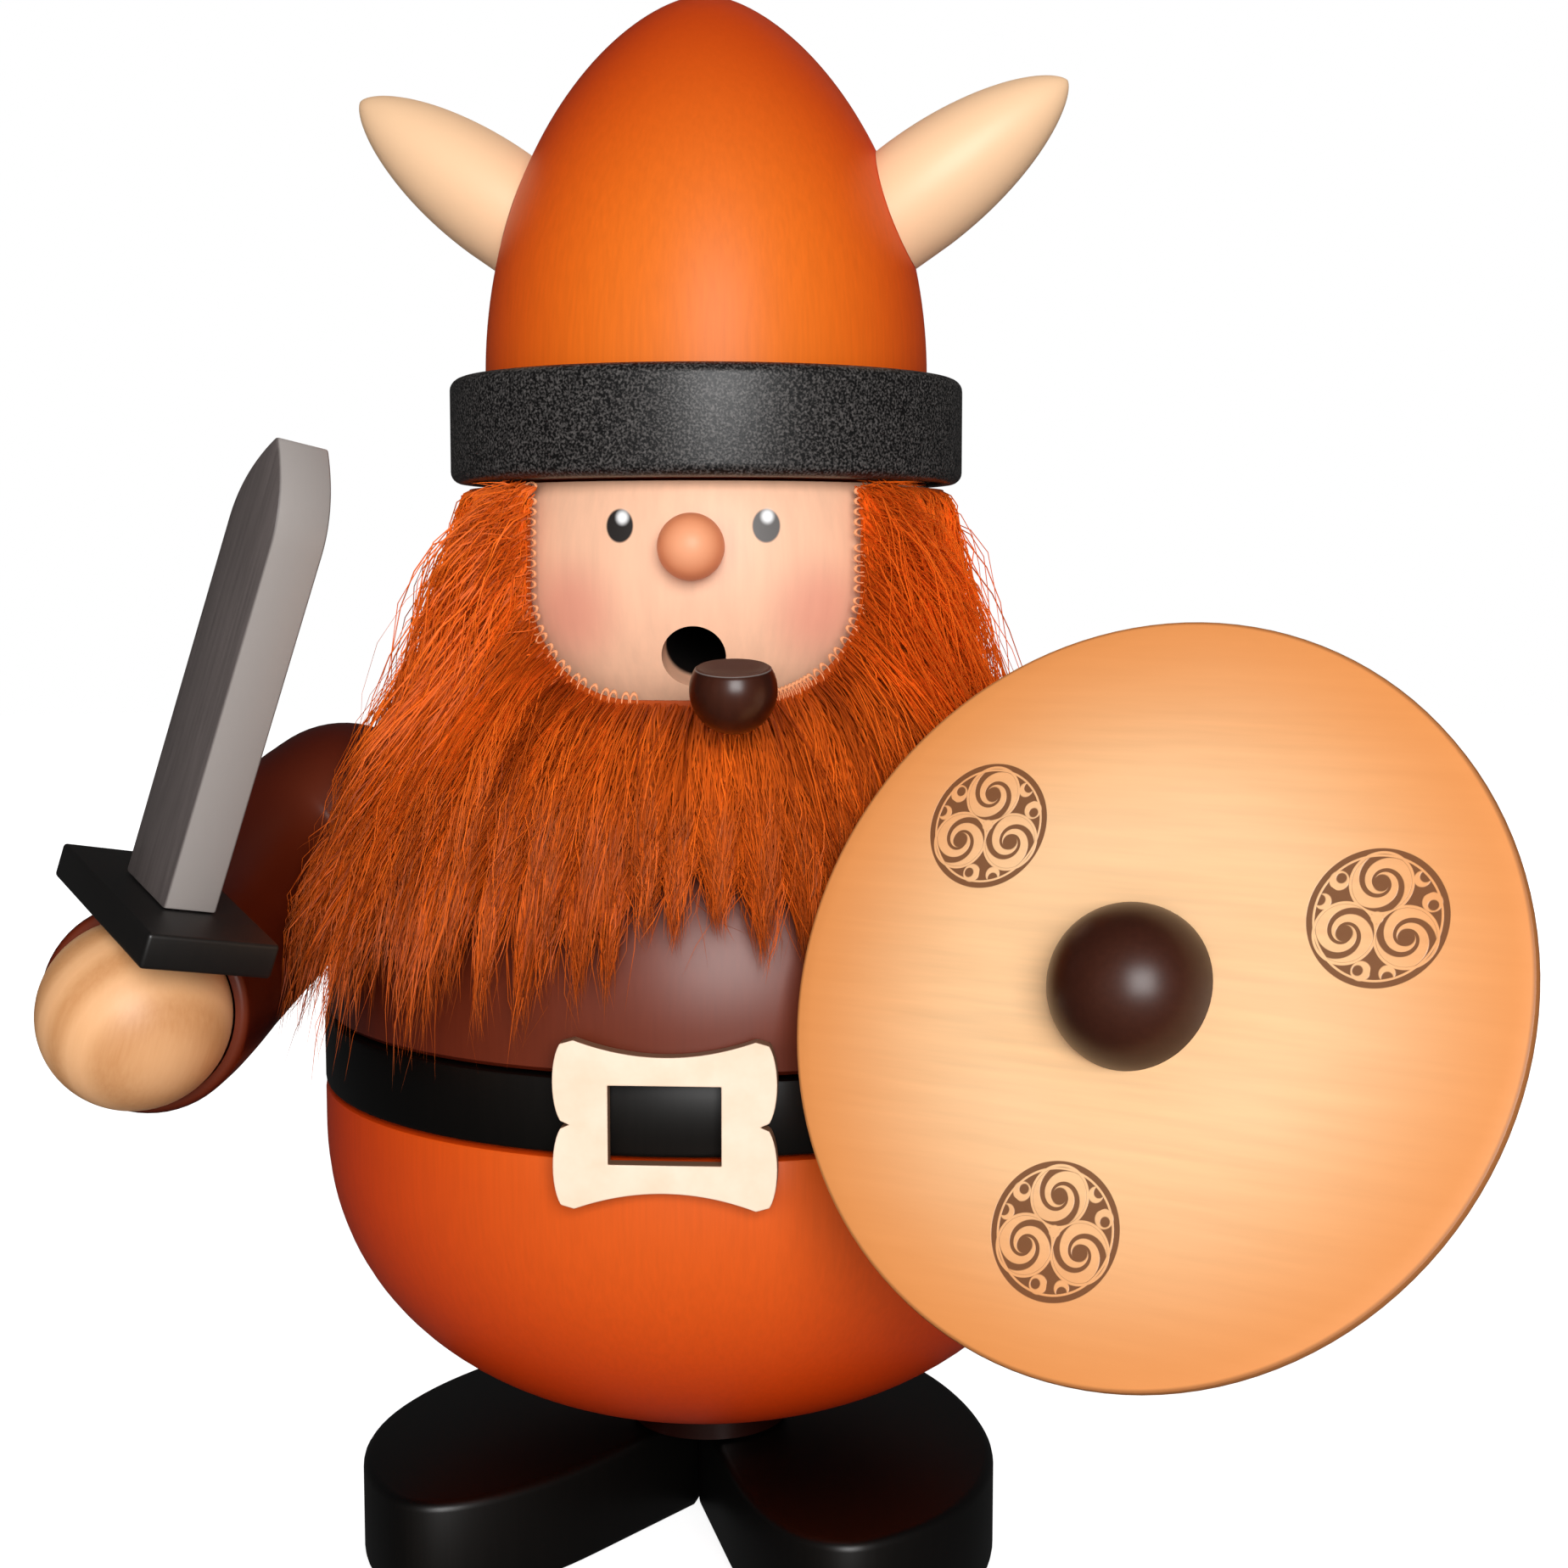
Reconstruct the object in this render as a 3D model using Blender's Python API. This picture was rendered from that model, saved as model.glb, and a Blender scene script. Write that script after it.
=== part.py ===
"""Turned wooden incense smoker in the shape of a viking.

Units are metres, +Z is up and the figure faces -Y. Sizes are written in millimetres times MM.
The body is two turned halves: the upper half lifts off the lower one, and a cone burns between
them. The smoke goes up through the throat in the head and out of the mouth.
The figure is built round its own axis and then moved, so that the origin is at the middle of the
whole part's outline on the ground.
"""

import math

import bmesh
import bpy
from mathutils import Matrix, Vector

MM = 0.001

# Fits
GAP = 0.3 * MM               # between two pieces that touch
SOCKET_GAP = 0.3 * MM        # round a spigot, a ball or a stem in its hole
SEGMENTS = 30                # sides of the large turned pieces
SMALL_SEGMENTS = 16          # sides of the small turned pieces

# Shoes
SHOE_HEIGHT = 10.5 * MM
SHOE_EDGE = 1.0 * MM
HEEL_REACH = 29.3 * MM       # from the body axis to the back of the heel
TOE_REACH = 37.3 * MM        # from the body axis to the toe
TOE_ANGLE = math.radians(42.4)
NOTCH_ANGLE = math.radians(25.7)
NOTCH_LENGTH = 16 * MM       # straight part of the shoe's inner side
TOE_ROUND = 9 * MM
FEET_TURN = math.radians(-9)

# Lower body
LOWER_RADIUS = 40.5 * MM
LOWER_HEIGHT = 38.6 * MM     # underside to the seat of the belt
LOWER_WAIST = 3.6 * MM       # straight part under the belt
SPIGOT_HEIGHT = 12.4 * MM    # from the belt seat to the spigot's rim
SPIGOT_RADIUS = LOWER_RADIUS - 9.8 * MM
DISH_RADIUS = 22 * MM
DISH_DEPTH = 7.8 * MM
DRAUGHT_RADIUS = 3.1 * MM
DRAUGHT_PLACE = 12 * MM      # in front of the axis, over the notch between the shoes

# Belt and buckle
BELT_RADIUS = LOWER_RADIUS   # the belt is turned flush with the lower body
BELT_HEIGHT = 7.1 * MM
BUCKLE_WIDTH = 20.2 * MM
BUCKLE_HEIGHT = 15.4 * MM
BUCKLE_THICKNESS = 1.8 * MM
BUCKLE_WAIST = 1.5 * MM      # how far its long sides and its short sides are drawn in
WINDOW_WIDTH = 10.2 * MM
WINDOW_HEIGHT = 7.2 * MM

# Upper body
UPPER_RADIUS = BELT_RADIUS - 0.4 * MM
UPPER_HEIGHT = 28.9 * MM
UPPER_WAIST = 2.5 * MM
UPPER_CROWN = 6 * MM         # how far the egg would run on above its flat top
CHAMBER_RADIUS = SPIGOT_RADIUS - 3.7 * MM
CHAMBER_HEIGHT = 10 * MM     # straight part above the spigot
CHAMBER_CONE = 9 * MM
THROAT_RADIUS = 5 * MM

# Head and face
HEAD_RADIUS = 24.5 * MM
HEAD_BELOW = 16.7 * MM       # head centre above the flat of the upper body
HEAD_ABOVE = 8.4 * MM        # flat under the helmet above the head centre
FACE_TURN = math.radians(2)
MOUTH_RADIUS = 3.1 * MM
MOUTH_DROP = 8.4 * MM        # mouth below the head centre
NOSE_RADIUS = 3.2 * MM
NOSE_RISE = 2.1 * MM         # nose above the head centre
NOSE_OUT = 1.9 * MM          # nose centre in front of the head
PIPE_RADIUS = 4.0 * MM
PIPE_TOP = 2.0 * MM          # flat of the bowl above its centre
PIPE_OUT = 12.5 * MM         # bowl centre in front of the head's widest part
PIPE_SIDE = 4.5 * MM
PIPE_DROP = 10.8 * MM
STEM_RADIUS = 1.0 * MM
STEM_DEPTH = 2.5 * MM        # stem let into the face

# Hair and beard
HAIR_TOP_RADIUS = HEAD_RADIUS + 3.5 * MM
HAIR_SPREAD = 0.354          # outward run for each unit downwards
HAIR_ON_CHEST = 4.2 * MM
HAIR_TIP = 1.3 * MM
HAIR_CLEARANCE = 0.5 * MM
BEARD_LENGTH = 49.5 * MM     # below the helmet
BACK_HAIR_LENGTH = 38 * MM
LOCK_RISE = 3.4 * MM         # hem between two lock tips
LOCK_GROOVE = 1.1 * MM
BEARD_LOCKS = 4              # on each side of the middle
BACK_LOCKS = 4
FACE_HALF_WIDTH = 15.8 * MM
FACE_DROP = 12.2 * MM        # lower edge of the face opening below the head centre
FACE_CORNER = 10 * MM

# Helmet
HELMET_RADIUS = HEAD_RADIUS - 1.5 * MM
HELMET_HEIGHT = 50 * MM
HELMET_STRAIGHT = 11 * MM
BAND_RADIUS = HELMET_RADIUS + 3.7 * MM
BAND_HEIGHT = 10.7 * MM
BAND_EDGE = 1.2 * MM
HORN_RADIUS = 6.05 * MM
HORN_LENGTH = 21 * MM        # from the helmet's surface to the tip
HORN_ROOT = 2 * MM           # thickest place beyond the helmet's surface
HORN_HEIGHT = 28.1 * MM      # root above the helmet's underside
HORN_RISE = math.radians(36)
HORN_TURN = math.radians(-5)   # the helmet stands a little turned on the head

# Arms and hands
SHOULDER_HEIGHT = 18.9 * MM  # above the upper body's underside
SHOULDER_OUT = 2.5 * MM      # shoulder centre beyond the body's surface
SHOULDER_TURN = math.radians(80.4)
SHOULDER_RADIUS = 10.6 * MM
CUFF_RADIUS = 9.6 * MM
ARM_OUT = 9.0 * MM           # cuff from the shoulder, outwards
ARM_FORWARD = 37.6 * MM      # and forwards
ARM_DROP = 12.5 * MM         # and down
ELBOW_OUT = 9.8 * MM
ELBOW_DROP = 6 * MM
ELBOW_PULL = 16 * MM
HAND_RADIUS = 8.5 * MM
HAND_OUT = 2 * MM            # hand centre beyond the cuff
HAND_FLAT = 8.2 * MM         # flats for the sword and the shield, from the hand centre

# Sword
GUARD_LENGTH = 20.5 * MM
GUARD_WIDTH = 12.2 * MM
GUARD_THICKNESS = 3.2 * MM
BLADE_LENGTH = 41.2 * MM
BLADE_WIDTH = 8.6 * MM
BLADE_THICKNESS = 5 * MM
BLADE_TIP = 8.5 * MM         # length of the pointed round end
SWORD_SIDE_LEAN = math.radians(19.1)
SWORD_FRONT_LEAN = math.radians(4.7)
SWORD_TWIST = math.radians(43)

# Shield
SHIELD_RADIUS = 31.9 * MM
SHIELD_RIM = 1.2 * MM
SHIELD_BACK = 4.6 * MM       # how far the back bulges behind the rim
SHIELD_FRONT = 0.6 * MM      # how far the front bulges
SHIELD_TURN = math.radians(30)
SHIELD_TILT = math.radians(22.4)
BOSS_RADIUS = 6.9 * MM

# Heights, worked out from the stack
LOWER_BASE = SHOE_HEIGHT + GAP
BELT_SEAT = LOWER_BASE + LOWER_HEIGHT
BELT_BASE = BELT_SEAT + GAP
UPPER_BASE = BELT_BASE + BELT_HEIGHT + GAP
UPPER_TOP = UPPER_BASE + UPPER_HEIGHT
HEAD_BASE = UPPER_TOP + GAP
HEAD_CENTRE = UPPER_TOP + HEAD_BELOW
HEAD_TOP = HEAD_CENTRE + HEAD_ABOVE
HELMET_BASE = HEAD_TOP + GAP
SPIGOT_TOP = BELT_SEAT + SPIGOT_HEIGHT
SOCKET_TOP = SPIGOT_TOP + GAP
THROAT_BASE = SOCKET_TOP + CHAMBER_HEIGHT + CHAMBER_CONE


def material(name, colour, roughness, metallic=0.0):
    """A plain Principled material."""
    made = bpy.data.materials.new(name)
    made.use_nodes = True
    shader = made.node_tree.nodes["Principled BSDF"]
    shader.inputs["Base Color"].default_value = (*colour, 1.0)
    shader.inputs["Roughness"].default_value = roughness
    shader.inputs["Metallic"].default_value = metallic
    return made


def add_object(name, shape, finish=None, parent=None):
    """Turn a bmesh into an object on the figure's parent empty."""
    bmesh.ops.recalc_face_normals(shape, faces=shape.faces)
    mesh = bpy.data.meshes.new(name)
    shape.to_mesh(mesh)
    shape.free()
    mesh.shade_smooth()
    mesh.set_sharp_from_angle(angle=math.radians(35))
    made = bpy.data.objects.new(name, mesh)
    bpy.context.scene.collection.objects.link(made)
    made.parent = parent
    if finish is not None:
        mesh.materials.append(finish)
    return made


def turned_shape(profile, segments, closed):
    """Spin a profile of (radius, height) pairs round Z; closed profiles make rings."""
    shape = bmesh.new()
    points = [shape.verts.new((radius, 0.0, height)) for radius, height in profile]
    edges = [shape.edges.new(pair) for pair in zip(points, points[1:])]
    if closed:
        edges.append(shape.edges.new((points[-1], points[0])))
    bmesh.ops.spin(shape, geom=points + edges, cent=(0, 0, 0), axis=(0, 0, 1),
                   angle=math.tau, steps=segments, use_merge=True)
    bmesh.ops.remove_doubles(shape, verts=shape.verts, dist=0.001 * MM)
    return shape


def prism_shape(outline, thickness):
    """Extrude a closed outline in XY by a thickness along +Z, starting at z = 0."""
    shape = bmesh.new()
    face = shape.faces.new([shape.verts.new((x, y, 0.0)) for x, y in outline])
    grown = bmesh.ops.extrude_face_region(shape, geom=[face])
    moved = [item for item in grown["geom"] if isinstance(item, bmesh.types.BMVert)]
    bmesh.ops.translate(shape, verts=moved, vec=(0, 0, thickness))
    return shape


def cut(target, cutter):
    """Take one solid out of another with a live Boolean."""
    cutter.hide_render = True
    cutter.display_type = "WIRE"
    modifier = target.modifiers.new("cut_" + cutter.name, "BOOLEAN")
    modifier.operation = "DIFFERENCE"
    modifier.solver = "EXACT"
    modifier.object = cutter


def frame_from(place, x_axis, y_axis, z_axis):
    """A matrix with the given origin and axes."""
    turn = Matrix((x_axis, y_axis, z_axis)).transposed()
    return Matrix.Translation(place) @ turn.to_4x4()


def round_about(angle, reach, height):
    """A point at an angle from the front, positive towards the figure's left."""
    return Vector((reach * math.sin(angle), -reach * math.cos(angle), height))


def lower_radius(height):
    """Outside of the lower body at a height."""
    bowl_top = BELT_SEAT - LOWER_WAIST
    if height >= bowl_top:
        return LOWER_RADIUS
    share = (bowl_top - height) / (bowl_top - LOWER_BASE)
    return LOWER_RADIUS * max(0.0, 1 - share ** 2) ** (1 / 2.05)


def upper_radius(height):
    """Outside of the upper body at a height."""
    egg_base = UPPER_BASE + UPPER_WAIST
    if height <= egg_base:
        return UPPER_RADIUS
    share = min(1.0, (height - egg_base) / (UPPER_TOP + UPPER_CROWN - egg_base))
    return UPPER_RADIUS * (1 - share ** 2.2) ** (1 / 2.2)


def head_radius(height):
    """Outside of the head at a height."""
    return math.sqrt(max(0.0, HEAD_RADIUS ** 2 - (height - HEAD_CENTRE) ** 2))


def helmet_radius(height):
    """Outside of the helmet at a height."""
    egg_base = HELMET_BASE + HELMET_STRAIGHT
    if height <= egg_base:
        return HELMET_RADIUS
    share = min(1.0, (height - egg_base) / (HELMET_BASE + HELMET_HEIGHT - egg_base))
    return HELMET_RADIUS * (1 - share ** 2) ** 0.61


def steps(start, end, count):
    """Evenly spaced values, both ends included."""
    return [start + (end - start) * index / count for index in range(count + 1)]


def make_shoe(side, finish, figure):
    """One shoe: straight inner side, round toe, and a back that follows the body."""
    notch_end = (NOTCH_LENGTH * math.sin(NOTCH_ANGLE), -NOTCH_LENGTH * math.cos(NOTCH_ANGLE))
    toe = (TOE_REACH * math.sin(TOE_ANGLE), -TOE_REACH * math.cos(TOE_ANGLE))
    inner = (notch_end[0] + TOE_ROUND * math.sin(NOTCH_ANGLE),
             notch_end[1] - TOE_ROUND * math.cos(NOTCH_ANGLE))
    outer = (toe[0] - TOE_ROUND * math.cos(TOE_ANGLE), toe[1] - TOE_ROUND * math.sin(TOE_ANGLE))
    seam = GAP / 2
    outline = [(seam, -seam / math.tan(NOTCH_ANGLE)), notch_end]
    for share in steps(0, 1, 6)[1:]:
        rest = 1 - share
        weights = (rest ** 3, 3 * rest ** 2 * share, 3 * rest * share ** 2, share ** 3)
        corners = (notch_end, inner, outer, toe)
        outline.append(tuple(sum(w * c[axis] for w, c in zip(weights, corners)) for axis in (0, 1)))
    for angle in steps(TOE_ANGLE, math.pi, 12)[1:-1]:
        fall = min(1.0, (angle - TOE_ANGLE) / math.radians(90))
        swell = (0.5 + 0.5 * math.cos(math.pi * fall)) ** 1.3
        reach = HEEL_REACH + (TOE_REACH - HEEL_REACH) * swell
        outline.append((reach * math.sin(angle), -reach * math.cos(angle)))
    outline.append((seam, HEEL_REACH))
    shape = prism_shape(outline, SHOE_HEIGHT)
    rim = [edge for edge in shape.edges
           if abs(edge.verts[0].co.z - edge.verts[1].co.z) < 0.1 * MM
           and max(edge.verts[0].co.x, edge.verts[1].co.x) > 2 * seam]
    bmesh.ops.bevel(shape, geom=rim, offset=SHOE_EDGE, segments=2, profile=0.5, affect="EDGES")
    if side < 0:
        bmesh.ops.scale(shape, verts=shape.verts, vec=(-1, 1, 1))
        bmesh.ops.reverse_faces(shape, faces=shape.faces)
    shoe = add_object("left_shoe" if side > 0 else "right_shoe", shape, finish, figure)
    shoe.rotation_euler.z = FEET_TURN
    return shoe


def make_lower_body(finish, figure):
    """Turned bowl with a spigot, a dish for the cone and a draught bore."""
    bowl_top = BELT_SEAT - LOWER_WAIST
    foot = LOWER_BASE + 0.04 * LOWER_HEIGHT
    heights = [bowl_top - (bowl_top - foot) * math.cos(angle)
               for angle in steps(0, math.pi / 2, 8)]
    foot_radius = 0.72 * lower_radius(foot)
    spigot_wall = 2 * MM
    floor = SPIGOT_TOP - DISH_DEPTH
    profile = [(0, LOWER_BASE), (foot_radius, LOWER_BASE)]
    profile += [(lower_radius(height), height) for height in heights]
    profile += [(LOWER_RADIUS, BELT_SEAT), (SPIGOT_RADIUS, BELT_SEAT)]
    profile += [(SPIGOT_RADIUS, SPIGOT_TOP), (DISH_RADIUS + spigot_wall, SPIGOT_TOP)]
    profile += [(DISH_RADIUS, floor), (0, floor)]
    body = add_object("lower_body", turned_shape(profile, SEGMENTS, False), finish, figure)
    bore = turned_shape([(0, 0), (DRAUGHT_RADIUS, 0), (DRAUGHT_RADIUS, SPIGOT_TOP),
                         (0, SPIGOT_TOP)], 16, False)
    drill = add_object("draught_drill", bore, None, figure)
    drill.location = (0, -DRAUGHT_PLACE, 0)
    cut(body, drill)


def make_belt(finish, figure):
    """Turned ring between the body halves, round the spigot."""
    inner = SPIGOT_RADIUS + SOCKET_GAP
    edge = 0.5 * MM
    top = BELT_BASE + BELT_HEIGHT
    profile = [(inner, BELT_BASE), (BELT_RADIUS - edge, BELT_BASE), (BELT_RADIUS, BELT_BASE + edge),
               (BELT_RADIUS, top - edge), (BELT_RADIUS - edge, top), (inner, top)]
    add_object("belt", turned_shape(profile, SEGMENTS, True), finish, figure)


def make_buckle(finish, figure):
    """Flat plywood plate: drawn-in long sides, two round lobes at each end, and a window."""
    half_width = BUCKLE_WIDTH / 2
    half_height = BUCKLE_HEIGHT / 2
    corner = 0.81 * half_width

    def long_side(height):
        return [(corner * share, height - math.copysign(BUCKLE_WAIST, height) * (1 - share ** 2))
                for share in steps(1, -1, 8)]

    def lobe(side, low, high):
        middle = (low + high) / 2
        swell = half_width - corner
        found = []
        for angle in steps(-0.36 * math.pi, 0.36 * math.pi, 6)[1:-1]:
            out = corner + swell * math.cos(angle) ** 0.8
            found.append((side * out, middle + (high - low) / 2 * math.sin(angle) / 0.905))
        return found

    neck = half_width - BUCKLE_WAIST
    outline = long_side(half_height)
    outline += lobe(-1, half_height, 0) + [(-neck, 0)] + lobe(-1, 0, -half_height)
    outline += list(reversed(long_side(-half_height)))
    outline += lobe(1, -half_height, 0) + [(neck, 0)] + lobe(1, 0, half_height)
    plate = add_object("buckle", prism_shape(outline, BUCKLE_THICKNESS), finish, figure)
    window = [(x * WINDOW_WIDTH / 2, y * WINDOW_HEIGHT / 2)
              for x, y in ((-1, -1), (1, -1), (1, 1), (-1, 1))]
    shape = prism_shape(window, 3 * BUCKLE_THICKNESS)
    bmesh.ops.translate(shape, verts=shape.verts, vec=(0, 0, -BUCKLE_THICKNESS))
    punch = add_object("buckle_window", shape, None, figure)
    place = Vector((0, -BELT_RADIUS - GAP, BELT_BASE + BELT_HEIGHT / 2))
    for piece in (plate, punch):
        piece.matrix_local = frame_from(place, (1, 0, 0), (0, 0, 1), (0, -1, 0))
    cut(plate, punch)


def make_upper_body(finish, figure):
    """Turned egg, hollow for the smoke, open below and at the throat."""
    egg_base = UPPER_BASE + UPPER_WAIST
    heights = [egg_base + (UPPER_TOP - egg_base) * math.sin(angle)
               for angle in steps(0, math.pi / 2, 7)]
    socket = SPIGOT_RADIUS + SOCKET_GAP
    profile = [(UPPER_RADIUS, UPPER_BASE)]
    profile += [(upper_radius(height), height) for height in heights]
    profile += [(THROAT_RADIUS, UPPER_TOP), (THROAT_RADIUS, THROAT_BASE)]
    profile += [(CHAMBER_RADIUS, SOCKET_TOP + CHAMBER_HEIGHT), (CHAMBER_RADIUS, SOCKET_TOP)]
    profile += [(socket, SOCKET_TOP), (socket, UPPER_BASE)]
    add_object("upper_body", turned_shape(profile, SEGMENTS, True), finish, figure)


def make_head(finish, figure):
    """Turned ball with a throat from below, a mouth bore and a hole for the pipe's stem."""
    mouth_height = HEAD_CENTRE - MOUTH_DROP
    throat_top = mouth_height + 2 * MOUTH_RADIUS
    heights = steps(HEAD_BASE, HEAD_TOP, 8)
    profile = [(0, throat_top), (THROAT_RADIUS, throat_top), (THROAT_RADIUS, HEAD_BASE)]
    profile += [(head_radius(height), height) for height in heights] + [(0, HEAD_TOP)]
    head = add_object("head", turned_shape(profile, SEGMENTS, False), finish, figure)
    reach = HEAD_RADIUS + 5 * MM
    bore = turned_shape([(0, 0), (MOUTH_RADIUS, 0), (MOUTH_RADIUS, reach), (0, reach)], 20, False)
    mouth = add_object("mouth_drill", bore, None, figure)
    mouth.matrix_local = face_frame(0, 0, mouth_height)
    cut(head, mouth)
    hole = STEM_RADIUS + SOCKET_GAP
    pocket = turned_shape([(0, 0), (hole, 0), (hole, reach), (0, reach)], 12, False)
    drill = add_object("stem_drill", pocket, None, figure)
    drill.matrix_local = face_frame(PIPE_SIDE, stem_start() - SOCKET_GAP, stem_height())
    cut(head, drill)


def face_frame(side, out, height):
    """Axes at a place on the face: Z points out of the face, X to the figure's left."""
    turn = Matrix.Rotation(FACE_TURN, 4, "Z")
    place = Matrix.Translation((side, -out, height))
    lie = Matrix(((1, 0, 0), (0, 0, -1), (0, 1, 0))).to_4x4()
    return turn @ place @ lie


def stem_height():
    """The stem meets the bowl a little above its middle."""
    return HEAD_CENTRE - PIPE_DROP + 0.1 * PIPE_RADIUS


def stem_start():
    """Distance of the stem's hidden end in front of the head's axis."""
    surface = math.sqrt(head_radius(stem_height()) ** 2 - PIPE_SIDE ** 2)
    return surface - STEM_DEPTH


def make_nose(finish, figure):
    """Ball glued on the face; its back follows the head."""
    nose = add_object("nose", ball_shape(NOSE_RADIUS, SMALL_SEGMENTS, 8), finish, figure)
    height = HEAD_CENTRE + NOSE_RISE
    nose.matrix_local = face_frame(0, head_radius(height) + NOSE_OUT, height)
    profile = [(0, -HEAD_RADIUS)]
    profile += [((HEAD_RADIUS + GAP) * math.cos(angle), (HEAD_RADIUS + GAP) * math.sin(angle))
                for angle in steps(-0.45 * math.pi, 0.45 * math.pi, 20)]
    profile.append((0, HEAD_RADIUS))
    seat = add_object("nose_seat", turned_shape(profile, 2 * SEGMENTS, False), None, figure)
    seat.location = (0, 0, HEAD_CENTRE)
    cut(nose, seat)


def ball_shape(radius, around, rings, flat=None):
    """A turned ball, with its +Z end cut flat at a height if one is given."""
    top = radius if flat is None else flat
    end = math.asin(top / radius)
    profile = [(radius * math.cos(angle), radius * math.sin(angle))
               for angle in steps(-math.pi / 2, end, rings)]
    if flat is not None:
        profile.append((0, flat))
    return turned_shape(profile, around, False)


def make_pipe(finish, figure):
    """Tobacco pipe: a round bowl with a flat top, and a thin stem into the face."""
    bowl = add_object("pipe", ball_shape(PIPE_RADIUS, SMALL_SEGMENTS, 7, PIPE_TOP), finish, figure)
    out = HEAD_RADIUS + PIPE_OUT
    bowl_turn = Matrix.Rotation(FACE_TURN, 4, "Z")
    bowl.matrix_local = bowl_turn @ Matrix.Translation((PIPE_SIDE, -out, HEAD_CENTRE - PIPE_DROP))
    length = out - 0.5 * PIPE_RADIUS - stem_start()
    rod = turned_shape([(0, 0), (STEM_RADIUS, 0), (STEM_RADIUS, length), (0, length)], 12, False)
    stem = add_object("pipe_stem_guide", rod, None, figure)
    stem.matrix_local = face_frame(PIPE_SIDE, stem_start(), stem_height())
    stem.hide_render = True
    stem.display_type = "WIRE"
    union = bowl.modifiers.new("stem", "BOOLEAN")
    union.operation = "UNION"
    union.solver = "EXACT"
    union.object = stem


def shoulder_place(side):
    """Centre of the round shoulder end of an arm."""
    height = UPPER_BASE + SHOULDER_HEIGHT
    place = round_about(SHOULDER_TURN, upper_radius(height) + SHOULDER_OUT, height)
    return Vector((side * place.x, place.y, place.z))


def arm_path(side, count=7):
    """Centre line of an arm, from the shoulder to the cuff, with its radii."""
    shoulder = shoulder_place(side)
    cuff = shoulder + Vector((side * ARM_OUT, -ARM_FORWARD, -ARM_DROP))
    first = shoulder + Vector((side * ELBOW_OUT, -0.07 * ARM_FORWARD, -ELBOW_DROP))
    second = cuff + Vector((0, ELBOW_PULL, 0))
    found = []
    for share in steps(0, 1, count):
        rest = 1 - share
        place = (shoulder * rest ** 3 + first * (3 * rest ** 2 * share)
                 + second * (3 * rest * share ** 2) + cuff * share ** 3)
        slope = ((first - shoulder) * rest ** 2 + (second - first) * (2 * rest * share)
                 + (cuff - second) * share ** 2)
        radius = SHOULDER_RADIUS + (CUFF_RADIUS - SHOULDER_RADIUS) * min(1.0, 1.5 * share)
        found.append((place, slope.normalized(), radius))
    return found


def hand_place(side):
    """Centre of a hand, just beyond its cuff."""
    cuff, slope, _ = arm_path(side)[-1]
    return cuff + slope * HAND_OUT


def sleeve_shape(side, grow=0.0):
    """Curved turned sleeve with a round shoulder, made thicker all over by an amount."""
    path = arm_path(side)
    start, slope, radius = path[0]
    rings = []
    for angle in steps(-math.pi / 2, 0, 5)[1:-1]:
        rings.append((start + slope * radius * math.sin(angle), slope, radius * math.cos(angle)))
    rings += path
    end, end_slope, end_radius = path[-1]
    edge = 0.6 * MM
    rings[-1] = (end - end_slope * edge, end_slope, end_radius)
    rings.append((end + end_slope * grow, end_slope, end_radius - edge))
    shape = bmesh.new()
    loops = []
    for place, along, reach in rings:
        across = Vector((0, 0, 1)).cross(along).normalized()
        up = along.cross(across)
        loops.append([shape.verts.new(place + across * (reach + grow) * math.cos(angle)
                                      + up * (reach + grow) * math.sin(angle))
                      for angle in steps(0, math.tau, SMALL_SEGMENTS)[:-1]])
    for near, far in zip(loops, loops[1:]):
        for index in range(SMALL_SEGMENTS):
            following = (index + 1) % SMALL_SEGMENTS
            shape.faces.new((near[index], near[following], far[following], far[index]))
    pole = shape.verts.new(start - slope * (radius + grow))
    for index in range(SMALL_SEGMENTS):
        shape.faces.new((pole, loops[0][(index + 1) % SMALL_SEGMENTS], loops[0][index]))
    shape.faces.new(loops[-1])
    return shape


def make_arm(side, finish, figure):
    """A sleeve with a socket for the hand, coped to the body."""
    name = "left" if side > 0 else "right"
    arm = add_object("arm_" + name, sleeve_shape(side), finish, figure)
    socket = add_object("socket_" + name, ball_shape(HAND_RADIUS + SOCKET_GAP, SMALL_SEGMENTS, 9), None, figure)
    socket.location = hand_place(side)
    cut(arm, socket)
    cut(arm, bpy.data.objects["body_cope"])


def make_body_cope(figure):
    """The upper body grown by the gap: what the arms are coped to."""
    heights = steps(UPPER_BASE - 10 * MM, UPPER_TOP, 14)
    profile = [(0, heights[0])]
    profile += [(upper_radius(height) + GAP, height) for height in heights]
    profile.append((0, heights[-1]))
    add_object("body_cope", turned_shape(profile, SEGMENTS, False), None, figure)


def sword_axes():
    """Directions of the sword: across the blade, through its thickness, and along it."""
    side = math.sin(SWORD_SIDE_LEAN)
    front = -math.sin(SWORD_FRONT_LEAN)
    along = Vector((side, front, math.sqrt(1 - side ** 2 - front ** 2)))
    right = Vector((0, 1, 0)).cross(along).normalized()
    back = along.cross(right)
    through = right * math.cos(SWORD_TWIST) + back * math.sin(SWORD_TWIST)
    return along.cross(through), through, along


def shield_axes():
    """Directions of the shield: to the right in front view, upwards, and out of its face."""
    out = Vector((-math.sin(SHIELD_TURN) * math.cos(SHIELD_TILT),
                  -math.cos(SHIELD_TURN) * math.cos(SHIELD_TILT), math.sin(SHIELD_TILT)))
    right = Vector((0, 0, 1)).cross(out).normalized()
    return right, out.cross(right), out


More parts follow.
